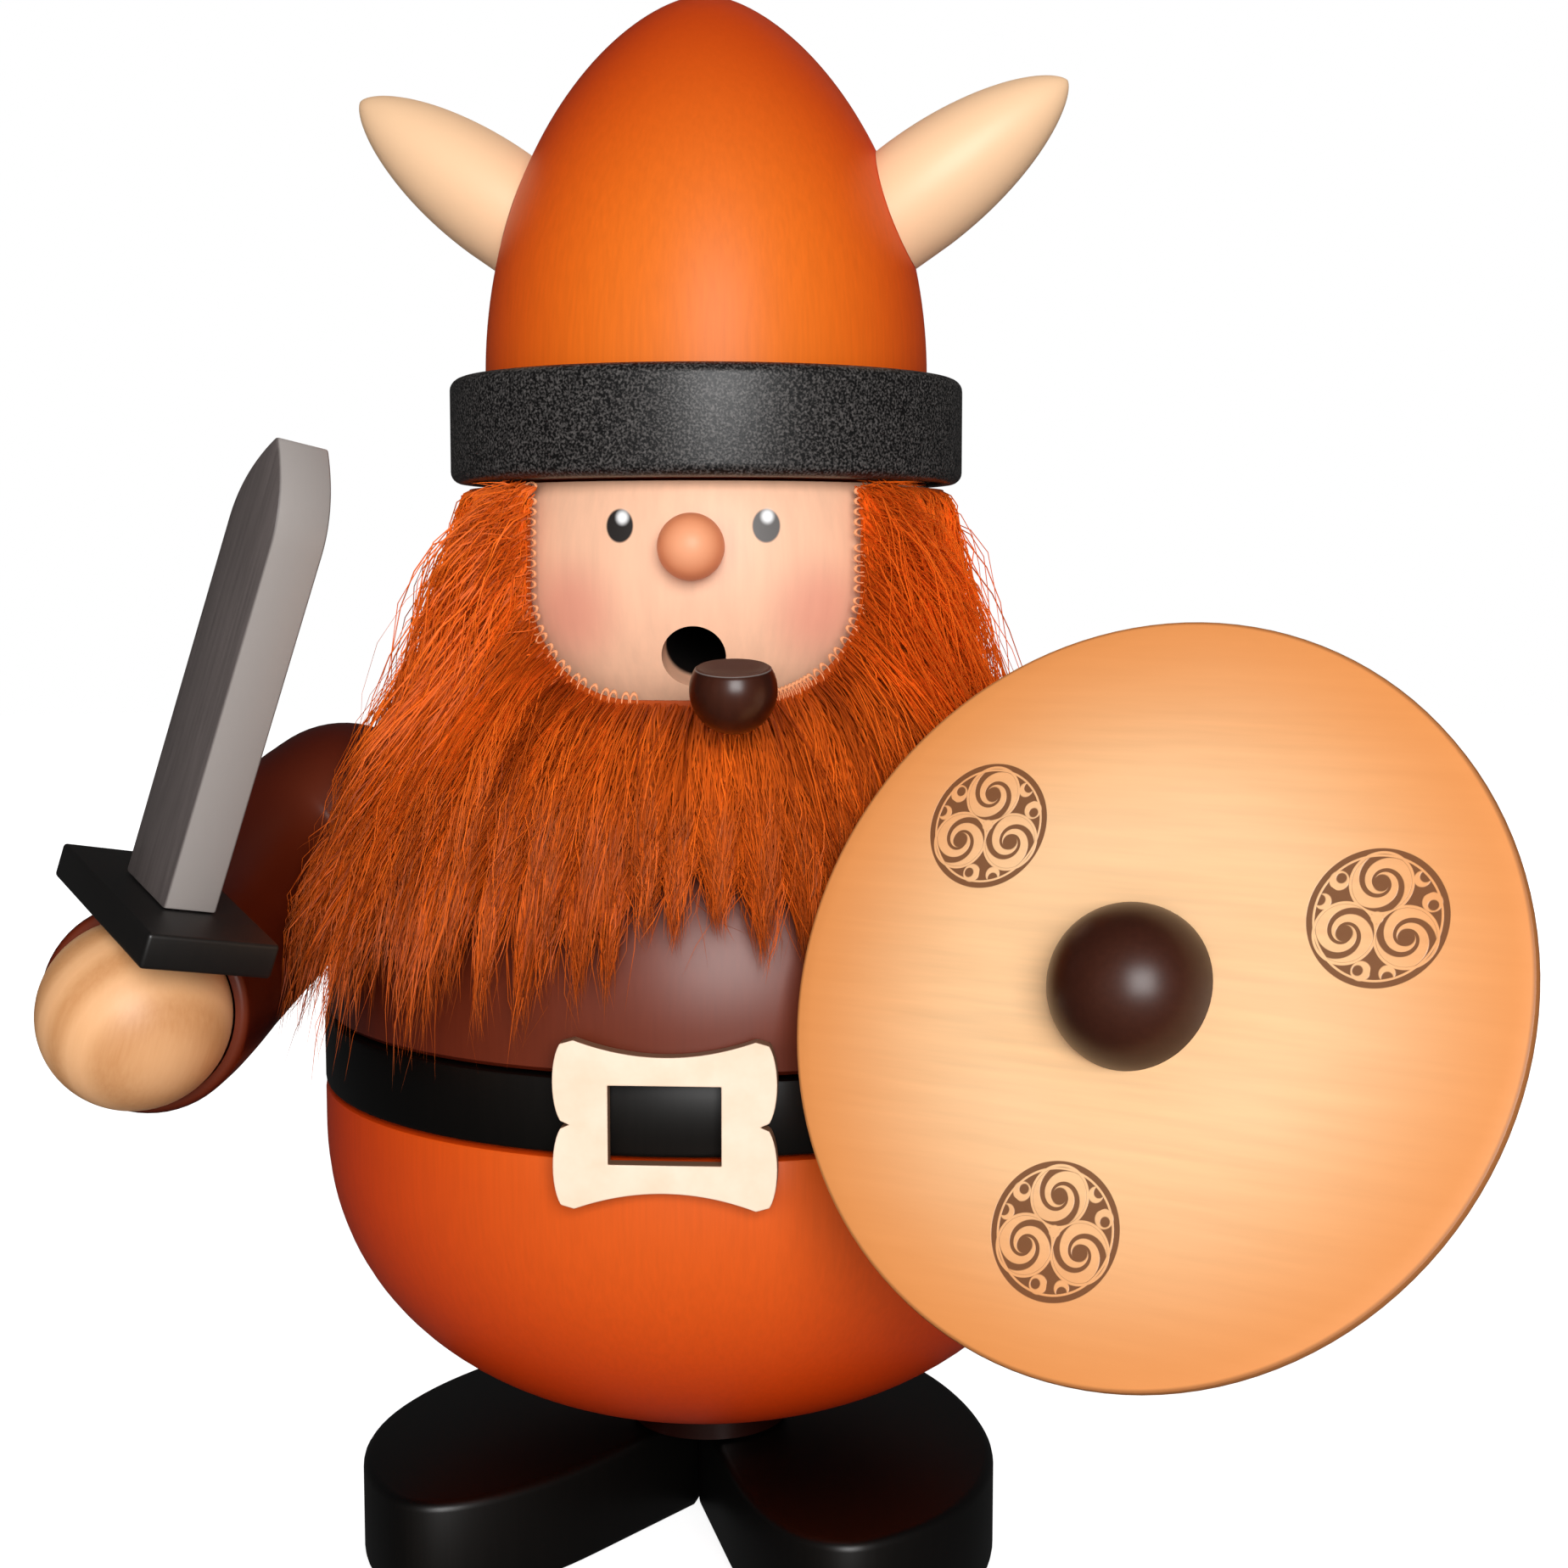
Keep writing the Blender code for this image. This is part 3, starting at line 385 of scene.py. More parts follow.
def rectangle(half_width, half_height):
    """Corners of a rectangle round the origin."""
    return [(x * half_width, y * half_height) for x, y in ((-1, -1), (1, -1), (1, 1), (-1, 1))]


def ease_edges(piece, width, segments=3):
    """Break sharp edges with a small bevel."""
    only(piece)
    modifier = piece.modifiers.new("eased_edges", "BEVEL")
    modifier.width = width
    modifier.segments = segments
    modifier.limit_method = "ANGLE"
    modifier.angle_limit = math.radians(SHARP)
    bpy.ops.object.modifier_apply(modifier=modifier.name)
    smooth(piece)


def cut(piece, cutter):
    """Cut one piece with another and throw the cutter away."""
    only(piece)
    modifier = piece.modifiers.new("cut", "BOOLEAN")
    modifier.operation = "DIFFERENCE"
    modifier.solver = "EXACT"
    modifier.object = cutter
    bpy.ops.object.modifier_apply(modifier=modifier.name)
    bpy.data.objects.remove(cutter, do_unlink=True)
    smooth(piece)


def cope(piece, name, outline, heights, clearance):
    """Hollow the end of a piece to fit the turned outline that it stands against."""
    profile = [(outline(height) + clearance, height) for height in heights]
    core = turned(name, [(0, heights[0])] + profile + [(0, heights[-1])], 112)
    put(core, on_axis())
    cut(piece, core)


def store(mesh, name, values):
    """Store a vector for each point of a mesh."""
    mesh.attributes.new(name, "FLOAT_VECTOR", "POINT").data.foreach_set(
        "vector", np.asarray(values, np.float32).ravel())


def put(piece, matrix):
    """Move a piece to its place and bake the move into its mesh."""
    piece.matrix_world = matrix
    only(piece)
    bpy.ops.object.transform_apply(location=True, rotation=True, scale=True)


def set_in(piece, matrix):
    """Store each point's place as it came off the lathe, for the grain, and move the piece."""
    values = np.empty(len(piece.data.vertices) * 3, np.float32)
    piece.data.vertices.foreach_get("co", values)
    store(piece.data, "own_place", values)
    put(piece, matrix)


def dress(piece, made, slot, *nodes):
    """Give a piece its material, its body and the solids it stands for; the slot is not used."""
    piece.data.materials.clear()
    piece.data.materials.append(made)
    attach(piece, "root")
    if nodes:
        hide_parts(*nodes)


def frame_from(place, x_axis, y_axis, z_axis):
    """A matrix with the given origin and axes."""
    return Matrix.Translation(place) @ Matrix((x_axis, y_axis, z_axis)).transposed().to_4x4()


def on_axis(height=0.0):
    """The turned axis of the figure."""
    return Matrix.Translation(AXIS + Vector((0, 0, height)))


def facing():
    """The turned axis with the small turn of the face."""
    return on_axis() @ Matrix.Rotation(FACE_TURN, 4, "Z")


def face_frame(side, out, height):
    """Axes at a place on the face: Z points out of it and X to the figure's left."""
    lie = Matrix(((1, 0, 0), (0, 0, -1), (0, 1, 0))).to_4x4()
    return facing() @ Matrix.Translation((side, -out, height)) @ lie


# Shapes shared with the solids


def arc(x, y, radius, first, last, count):
    """Points along an arc round a centre."""
    return [(x + radius * math.cos(angle), y + radius * math.sin(angle))
            for angle in steps(first, last, count)]


def lower_outline(height):
    """Radius of the lower body at a height."""
    if height >= BOWL_TOP:
        return sizes().lower_radius
    share = (BOWL_TOP - height) / (BOWL_TOP - UNDERSIDE)
    return sizes().lower_radius * max(0.0, 1 - share ** 2.2) ** (1 / 2.2)


def upper_outline(height):
    """Radius of the upper body at a height."""
    if height <= UPPER_EGG:
        return sizes().upper_radius
    share = min(1.0, (height - UPPER_EGG) / (UPPER_TOP + 6 * MM - UPPER_EGG))
    return sizes().upper_radius * (1 - share ** 2.2) ** (1 / 2.2)


def head_outline(height):
    """Radius of the head at a height."""
    return math.sqrt(max(0.0, sizes().head_radius ** 2 - (height - HEAD_CENTRE) ** 2))


def helmet_outline(height):
    """Radius of the helmet at a height."""
    if height <= HELMET_EGG:
        return sizes().helmet_radius
    share = min(1.0, (height - HELMET_EGG) / (HELMET_TOP - HELMET_EGG))
    return sizes().helmet_radius * (1 - share ** 2) ** 0.61


def ball_profile(radius, rings, flat=None):
    """Half circle from the lower pole up, with a flat at the top if one is given."""
    end = math.pi / 2 if flat is None else math.asin(flat / radius)
    found = arc(0, 0, radius, -math.pi / 2, end, rings)
    if flat is not None:
        found += [(0.5 * found[-1][0], flat), (0, flat)]
    return found


def arm_curve(side):
    """Corner points of a sleeve's centre line: shoulder, two handles, cuff."""
    height = UPPER_BASE + 18.9 * MM
    reach = upper_outline(height) + 2.5 * MM
    turn = math.radians(80.4)
    shoulder = AXIS + Vector((side * reach * math.sin(turn), -reach * math.cos(turn), height))
    cuff = shoulder + Vector((side * 9.0 * MM, -37.6 * MM, -12.5 * MM))
    first = shoulder + Vector((side * 9.8 * MM, -2.63 * MM, -6 * MM))
    second = cuff + Vector((0, 16 * MM, 0))
    return shoulder, first, second, cuff


def arm_points(side, count=24):
    """Places and radii along a sleeve."""
    shoulder, first, second, cuff = arm_curve(side)
    found = []
    for share in steps(0, 1, count):
        rest = 1 - share
        place = (shoulder * rest ** 3 + first * (3 * rest ** 2 * share)
                 + second * (3 * rest * share ** 2) + cuff * share ** 3)
        found.append((place, sleeve_radius(share)))
    return found


def sleeve_radius(share):
    """Radius of a sleeve at a share of its length."""
    full = sizes().sleeve_radius
    return full + (9.6 * MM - full) * min(1.0, 1.5 * share)


def hand_place(side):
    """Centre of the ball of a hand."""
    cuff = arm_curve(side)[3]
    return cuff + Vector((0, -HAND_OUT, 0))


def sword_axes():
    """Directions across the blade, through it, and along it."""
    right = math.sin(math.radians(19.1))
    front = -math.sin(math.radians(4.7))
    along = Vector((right, front, math.sqrt(1 - right ** 2 - front ** 2)))
    level = Vector((0, 1, 0)).cross(along).normalized()
    turn = math.radians(43)
    through = level * math.cos(turn) + along.cross(level) * math.sin(turn)
    return along.cross(through), through, along


def shield_axes():
    """Directions to the right in front view, upwards, and out of the shield's face."""
    turn = math.radians(30)
    tilt = math.radians(22.4)
    out = Vector((-math.sin(turn) * math.cos(tilt), -math.cos(turn) * math.cos(tilt), math.sin(tilt)))
    right = Vector((0, 0, 1)).cross(out).normalized()
    return right, out.cross(right), out


# Pieces


class SMOKER_OT_shoes(bpy.types.Operator):
    """Shoes: black sides and dark brown tops"""
    bl_idname = "smoker.shoes"
    bl_label = "Shoes"

    def execute(self, context):
        made, tree, shader, base, fibres = stained_wood(
            "black_stained_beech_shoes", colours().black_stain, 0.4, 0.3, coat_ior=1.45)
        top = soft_step(tree, own_height(tree), 9.7 * MM, 10.4 * MM)
        base = lay(tree, base, top, paint("#3a190f"))
        finish(tree, shader, base, fibres)
        for side, name in ((1, "left_shoe"), (-1, "right_shoe")):
            piece = self.shoe(side, name)
            set_in(piece, Matrix.Translation((SHOE_SHIFT, 0, 0)) @ on_axis()
                   @ Matrix.Rotation(math.radians(-9), 4, "Z"))
            dress(piece, made, "black_satin_stain", name)
        return {"FINISHED"}

    def shoe(self, side, name):
        """Straight inner side, round toe, and a back that follows the body."""
        notch = math.radians(25.7)
        toe_angle = math.radians(42.4)
        reach_toe, reach_heel, pull = 37.3 * MM, 29.3 * MM, 9 * MM
        notch_end = (16 * MM * math.sin(notch), -16 * MM * math.cos(notch))
        toe = (reach_toe * math.sin(toe_angle), -reach_toe * math.cos(toe_angle))
        inner = (notch_end[0] + pull * math.sin(notch), notch_end[1] - pull * math.cos(notch))
        outer = (toe[0] - pull * math.cos(toe_angle), toe[1] - pull * math.sin(toe_angle))
        seam = GAP / 2
        outline = [(seam, -seam / math.tan(notch)), notch_end]
        corners = (notch_end, inner, outer, toe)
        for share in steps(0, 1, 16)[1:]:
            rest = 1 - share
            weights = (rest ** 3, 3 * rest ** 2 * share, 3 * rest * share ** 2, share ** 3)
            outline.append(tuple(sum(weight * corner[axis] for weight, corner in zip(weights, corners))
                                 for axis in (0, 1)))
        for angle in steps(toe_angle, math.pi, 44)[1:-1]:
            fall = min(1.0, (angle - toe_angle) / math.radians(90))
            swell = (0.5 + 0.5 * math.cos(math.pi * fall)) ** 1.3
            reach = reach_heel + (reach_toe - reach_heel) * swell
            outline.append((reach * math.sin(angle), -reach * math.cos(angle)))
        outline.append((seam, reach_heel))
        outline = [(side * x, y) for x, y in outline]
        piece = board(name + "_turned", outline, span("left_shoe")[1])
        ease_edges(piece, 1.0 * MM, 4)
        return piece


class SMOKER_OT_body(bpy.types.Operator):
    """Lower body, belt and upper body: three turned pieces on one axis"""
    bl_idname = "smoker.body"
    bl_label = "Body"

    def execute(self, context):
        self.lower()
        self.belt()
        self.upper()
        return {"FINISHED"}

    def lower(self):
        lowest = UNDERSIDE + 0.5 * MM
        radius, edge = sizes().lower_radius, 0.4 * MM
        spigot, dish_rim, dish_foot = 30.7 * MM, 24 * MM, 22 * MM
        dish_floor = LOWER_RIM - 7.8 * MM
        profile = [(0, LOWER_BASE), (FOOT_RADIUS, LOWER_BASE), (FOOT_RADIUS, UNDERSIDE)]
        for angle in steps(0, math.pi / 2, 36):
            height = BOWL_TOP - (BOWL_TOP - lowest) * math.cos(angle)
            profile.append((lower_outline(height), height))
        profile += [(radius, BELT_SEAT - edge), (radius - 0.3 * edge, BELT_SEAT - 0.3 * edge),
                    (radius - edge, BELT_SEAT), (spigot, BELT_SEAT), (spigot, LOWER_RIM),
                    (dish_rim, LOWER_RIM), (dish_foot, dish_floor), (0, dish_floor)]
        piece = turned("lower_body_turned", profile)
        bore = rod("draught_drill", 3.1 * MM, 0, LOWER_RIM, 32)
        put(bore, Matrix.Translation((0, -12 * MM, 0)))
        cut(piece, bore)
        set_in(piece, on_axis())
        made, tree, shader, base, fibres = stained_wood(
            "orange_red_stained_lime_lower_body", colours().lower_stain, 0.4, 0.1)
        # The short foot on the shoes is painted near-black: painted shade under the lower body
        foot = soft_step(tree, own_height(tree), UNDERSIDE + 0.15 * MM, UNDERSIDE - 0.05 * MM)
        base = lay(tree, base, foot, paint("#1c1715"))
        finish(tree, shader, base, fibres)
        dress(piece, made, "orange_stained_wood", "lower_body")

    def belt(self):
        inner, outer, edge = 31.0 * MM, 40.5 * MM, 0.5 * MM
        profile = [(inner, BELT_BASE), (outer - edge, BELT_BASE),
                   (outer - 0.3 * edge, BELT_BASE + 0.3 * edge), (outer, BELT_BASE + edge),
                   (outer, BELT_TOP - edge), (outer - 0.3 * edge, BELT_TOP - 0.3 * edge),
                   (outer - edge, BELT_TOP), (inner, BELT_TOP), (inner, BELT_BASE)]
        piece = turned("belt_turned", profile)
        set_in(piece, on_axis())
        made = plain_stain("black_stained_lime_belt", colours().black_stain, 0.4, 0.3)
        dress(piece, made, "black_satin_stain", "belt")

    def upper(self):
        radius, edge = sizes().upper_radius, 0.4 * MM
        throat, chamber, socket = 5 * MM, 27 * MM, 31 * MM
        profile = [(radius - edge, UPPER_BASE), (radius, UPPER_BASE + edge)]
        for angle in steps(0, math.pi / 2, 30):
            height = UPPER_EGG + (UPPER_TOP - UPPER_EGG) * math.sin(angle)
            profile.append((upper_outline(height), height))
        profile += [(throat, UPPER_TOP), (throat, UPPER_BASE + 24 * MM),
                    (chamber, UPPER_BASE + 15 * MM), (chamber, UPPER_BASE + 5 * MM),
                    (socket, UPPER_BASE + 5 * MM), (socket, UPPER_BASE), (radius - edge, UPPER_BASE)]
        piece = turned("upper_body_turned", profile)
        set_in(piece, on_axis())
        made = plain_stain("red_brown_stained_lime_upper_body", colours().brown_stain, 0.38, 0.12, 1.46)
        dress(piece, made, "brown_stained_wood", "upper_body")


class SMOKER_OT_buckle(bpy.types.Operator):
    """Buckle: a plate sawn from thin pale plywood, with its cut edges burnt brown"""
    bl_idname = "smoker.buckle"
    bl_label = "Buckle"

    def execute(self, context):
        half_width, half_height, drawn_in = 10.1 * MM, 7.7 * MM, 1.5 * MM
        corner = 0.81 * half_width
        neck = half_width - drawn_in

        def long_side(height):
            return [(corner * share, height - math.copysign(drawn_in, height) * (1 - share ** 2))
                    for share in steps(1, -1, 24)]

        def lobe(side, low, high):
            found = []
            bow = 0.36 * math.pi
            for angle in steps(-bow, bow, 14)[1:-1]:
                out = corner + (half_width - corner) * math.cos(angle) ** 0.8
                rise = (high - low) / 2 * math.sin(angle) / 0.905
                found.append((side * out, (low + high) / 2 + rise))
            return found

        outline = long_side(half_height)
        outline += lobe(-1, half_height, 0) + [(-neck, 0)] + lobe(-1, 0, -half_height)
        outline += list(reversed(long_side(-half_height)))
        outline += lobe(1, -half_height, 0) + [(neck, 0)] + lobe(1, 0, half_height)
        thickness = 1.8 * MM
        plate = board("buckle_plate", outline, thickness)
        window = board("window_saw", rectangle(5.1 * MM, 3.6 * MM), 3 * thickness)
        put(window, Matrix.Translation((0, 0, -thickness)))
        cut(plate, window)
        ease_edges(plate, 0.12 * MM, 2)
        place = AXIS + Vector((0, -40.8 * MM, (BELT_BASE + BELT_TOP) / 2))
        set_in(plate, frame_from(place, (1, 0, 0), (0, 0, 1), (0, -1, 0)))

        made, tree, shader = new_material("bare_birch_plywood_buckle", 0.55, 0.05)
        streaks = grain(tree, 5, 0.35, detail=4.0)
        base = ramp(tree, streaks, 0.3, 0.72, paint("#ecd0b4"), paint("#f7dfc8"))
        burnt = soft_step(tree, own_height(tree), 1.79 * MM, 1.66 * MM)
        base = lay(tree, base, burnt, paint("#7a4a26"), 0.9)
        finish(tree, shader, base, streaks)
        dress(plate, made, "pale_plywood", "buckle")
        return {"FINISHED"}


class SMOKER_OT_head(bpy.types.Operator):
    """Head with painted eyes and cheeks, the nose and the pipe"""
    bl_idname = "smoker.head"
    bl_label = "Head"

    def execute(self, context):
        self.head()
        self.nose()
        self.pipe()
        return {"FINISHED"}

    def head(self):
        mouth = HEAD_CENTRE - 8.4 * MM
        throat = mouth + 6.2 * MM
        flue = 5 * MM
        profile = [(0, throat), (flue, throat), (flue, HEAD_BASE)]
        profile += [(head_outline(height), height) for height in steps(HEAD_BASE, HEAD_TOP, 40)]
        profile += [(0, HEAD_TOP)]
        piece = turned("head_turned", profile)
        # The bore slants up into the flue, a little to one side
        drill = rod("mouth_drill", sizes().mouth_radius, -22 * MM, 9 * MM, 48)
        put(drill, Matrix.Translation((0, -head_outline(mouth), mouth))
            @ Matrix.Rotation(math.radians(-4), 4, "Z") @ Matrix.Rotation(math.radians(106), 4, "X"))
        cut(piece, drill)
        set_in(piece, facing())
        dress(piece, self.face_material(), "pale_maple", "head")

    def face_material(self):
        """Pale maple, matt, with brushed eyes and cheeks dabbed on with a soft pad; the eyes carry painted
        highlights and a painted reflection.
        """
        made, tree, shader = new_material("matt_pale_maple_face", 0.5, 0.08, 0.35)
        wood = colours().pale_wood
        fibres = grain(tree, 1.2, 14)
        base = ramp(tree, fibres, 0.3, 0.72, shade(wood, 0.9), shade(wood, 1.0))
        for side in (-1, 1):
            cheek = distance(tree, (side * 11.8 * MM, -21 * MM, HEAD_CENTRE - 4 * MM))
            base = lay(tree, base, soft_step(tree, cheek, 7.0 * MM, 1.0 * MM), paint("#e2907c"), 0.62)
        # Each eye is a dark pupil with a white dot, a painted highlight; the right pupil's grey is a
        # painted reflection
        for side, dark, glint in ((-1, "#221c1a", (-6.75, 4.9)), (1, "#5d5957", (7.1, 5.0))):
            eye = distance(tree, (side * 7.0 * MM, -23 * MM, HEAD_CENTRE + 4.1 * MM), (1, 0, 0.82))
            base = lay(tree, base, soft_step(tree, eye, 1.42 * MM, 1.2 * MM), paint(dark))
            dot = distance(tree, (glint[0] * MM, -23 * MM, HEAD_CENTRE + glint[1] * MM), (1, 0, 0.9))
            base = lay(tree, base, soft_step(tree, dot, 0.85 * MM, 0.25 * MM), paint("#f4f4f4"))
        # The bore shows bare wood at its lip and is near-black further in
        deep_in_bore = soft_step(tree, distance(tree, (0, 0, HEAD_CENTRE)), 22.1 * MM, 20.7 * MM)
        inside = soft_step(tree, own_height(tree), HEAD_TOP - 1.5 * MM, HEAD_TOP - 2 * MM)
        base = lay(tree, base, times(tree, deep_in_bore, inside), paint("#0b0706"))
        finish(tree, shader, base, fibres, 0.015)
        return made

    def nose(self):
        height = HEAD_CENTRE + 2.1 * MM
        out = head_outline(height) + 1.9 * MM
        piece = turned("nose_turned", ball_profile(3.2 * MM, 28), 48)
        set_in(piece, face_frame(0, out, height))
        seat = turned("nose_seat", ball_profile(sizes().head_radius + 0.1 * MM, 60), 96)
        put(seat, on_axis(HEAD_CENTRE))
        cut(piece, seat)
        made = plain_stain("peach_stained_maple_nose", colours().peach_stain, 0.42, 0.06)
        dress(piece, made, "peach_lacquered_wood", "nose")

    def pipe(self):
        """Round bowl with a shallow dished top, and a thin stem into the face."""
        height, side = HEAD_CENTRE - 10.8 * MM, 4.5 * MM
        out = sizes().head_radius + 12.5 * MM
        profile = arc(0, 0, 4 * MM, -math.pi / 2, math.asin(0.5), 26)
        rim = profile[-1][0]
        profile += [(rim - 0.25 * MM, 2.15 * MM), (rim - 0.6 * MM, 2.05 * MM), (0.6 * rim, 1.7 * MM),
                    (0.3 * rim, 1.45 * MM), (0, 1.4 * MM)]
        bowl = turned("pipe_turned", profile, 64)
        set_in(bowl, facing() @ Matrix.Translation((side, -out, height))
               @ Matrix.Rotation(math.radians(11), 4, "X"))
        stem_height = height + 0.4 * MM
        start = math.sqrt(head_outline(stem_height) ** 2 - side ** 2) - 2 * MM
        length = out - 3 * MM - start
        stem = turned("pipe_stem", [(0, 0), (0.8 * MM, 0), (1.0 * MM, 0.5 * length), (1.0 * MM, length),
                                    (0, length)], 32)
        set_in(stem, face_frame(side, start, stem_height))
        made, tree, shader, base, fibres = stained_wood(
            "dark_brown_lacquered_beech_pipe", colours().dark_brown, 0.3, coat_ior=1.45)
        # The dished top is painted paler, as painted light where it faces up, and has less coat
        centre = distance(tree, (0, 0, 0), (1, 1, 0))
        dish = times(tree, soft_step(tree, own_height(tree), 1.2 * MM, 1.35 * MM),
                     soft_step(tree, centre, 3.5 * MM, 3.35 * MM))
        tree.links.new(maths(tree, "SUBTRACT", 1.0, times(tree, dish, 0.85)),
                       shader.inputs["Coat Weight"])
        base = lay(tree, base, dish, paint("#5f4036"))
        finish(tree, shader, base, fibres)
        dress(bowl, made, "dark_brown_lacquer", "pipe")
        dress(stem, made, "dark_brown_lacquer")


class SMOKER_OT_helmet(bpy.types.Operator):
    """Helmet, its speckled band and its two horns"""
    bl_idname = "smoker.helmet"
    bl_label = "Helmet"

    def execute(self, context):
        self.cap()
        self.band()
        for side in (-1, 1):
            self.horn(side)
        return {"FINISHED"}

    def cap(self):
        profile = [(0, HELMET_BASE), (sizes().helmet_radius, HELMET_BASE)]
        for angle in steps(0, math.pi / 2, 48):
            height = HELMET_EGG + (HELMET_TOP - HELMET_EGG) * math.sin(angle)
            profile.append((helmet_outline(height), height))
        piece = turned("helmet_turned", profile, 112)
        set_in(piece, on_axis())
        made, tree, shader, base, fibres = stained_wood(
            "orange_stained_lime_helmet", colours().helmet_stain, 0.42, 0.12, coat_ior=1.31)
        # Browner towards the tip
        tip = soft_step(tree, own_height(tree), 131 * MM, 158 * MM)
        base = lay(tree, base, tip, paint("#c79674"), 0.62)
        # Sanding for the horn's seat leaves a paler half moon on each side
        for side in (-1, 1):
            seat = distance(tree, (side * 20.2 * MM, 0, HORN_HEIGHT))
            base = lay(tree, base, soft_step(tree, seat, 9.5 * MM, 6.5 * MM), paint("#f0a468"), 0.5)
        finish(tree, shader, base, fibres)
        dress(piece, made, "orange_stained_wood", "helmet")

    def band(self):
        outer, edge = sizes().band_radius, 1.2 * MM
        inner = sizes().helmet_radius + 0.15 * MM
        profile = [(inner, HELMET_BASE)]
        for centre, first in ((HELMET_BASE + edge, -math.pi / 2), (BAND_TOP - edge, 0)):
            profile += arc(outer - edge, centre, edge, first, first + math.pi / 2, 6)
        profile += [(inner, BAND_TOP), (inner, HELMET_BASE)]
        piece = turned("helmet_band_turned", profile, 112)
        set_in(piece, on_axis())
        # Black paint rubbed with a little silver: specks of about 0.25 mm
        made, tree, shader = new_material("black_paint_with_silver_specks_band", 0.4, 0.0, specular=0.35)
        specks = noise(tree, (0.24, 0.24, 0.24))
        base = ramp(tree, specks, 0.44, 0.78, paint("#0e0d0d"), paint("#64605e"))
        finish(tree, shader, base, specks, 0.04, 0.5)
        dress(piece, made, "speckled_black_paint", "helmet_band")

    def horn(self, side):
        radius, length = sizes().horn_radius, sizes().horn_length
        hidden, root = 2.5 * radius, 2 * MM
        neck = -4 * MM
        profile = [(0, -hidden), (0.97 * radius, -hidden), (0.97 * radius, neck)]
        profile += [(radius * (0.97 + 0.03 * share), neck + (root - neck) * share)
                    for share in steps(0, 1, 4)[1:]]
        for angle in steps(0, math.pi / 2, 28)[1:]:
            share = math.sin(angle)
            profile.append((radius * max(0.0, 1 - share ** 2) ** 0.66, root + (length - root) * share))
        name = "horn_left" if side > 0 else "horn_right"
        piece = turned(name + "_turned", profile, 56)
        start = Vector((side * helmet_outline(HORN_HEIGHT), 0, HORN_HEIGHT))
        rise = math.radians(36)
        out = Vector((side * math.cos(rise), 0, math.sin(rise)))
        set_in(piece, on_axis() @ Matrix.Rotation(math.radians(-5), 4, "Z")
               @ frame_from(start, Vector((0, 1, 0)).cross(out), (0, 1, 0), out))
        cope(piece, "horn_seat", helmet_outline,
             steps(HELMET_BASE + 6 * MM, HELMET_TOP - 0.3 * MM, 60), 0.05 * MM)
        made, tree, shader = new_material(f"matt_pale_maple_{name}", 0.48, 0.1, 0.35)
        fibres = grain(tree, 0.9, 12)
        base = ramp(tree, fibres, 0.28, 0.75, paint("#efc094"), paint("#fbd3aa"))
        # Short dark pores, as where the turned end cuts across the fibres; they are laid only on the
        # underside, as painted shade
        pores = soft_step(tree, noise(tree, (0.45, 0.45, 1.2), detail=1.0), 0.62, 0.7)
        across = split(tree, attribute(tree, "own_place"))["X"]
        under = soft_step(tree, times(tree, across, float(side)), -1 * MM, 4 * MM)
        base = lay(tree, base, times(tree, pores, under), paint("#b98250"), 0.7)
        finish(tree, shader, base, fibres, 0.015)
        dress(piece, made, "pale_maple", name)


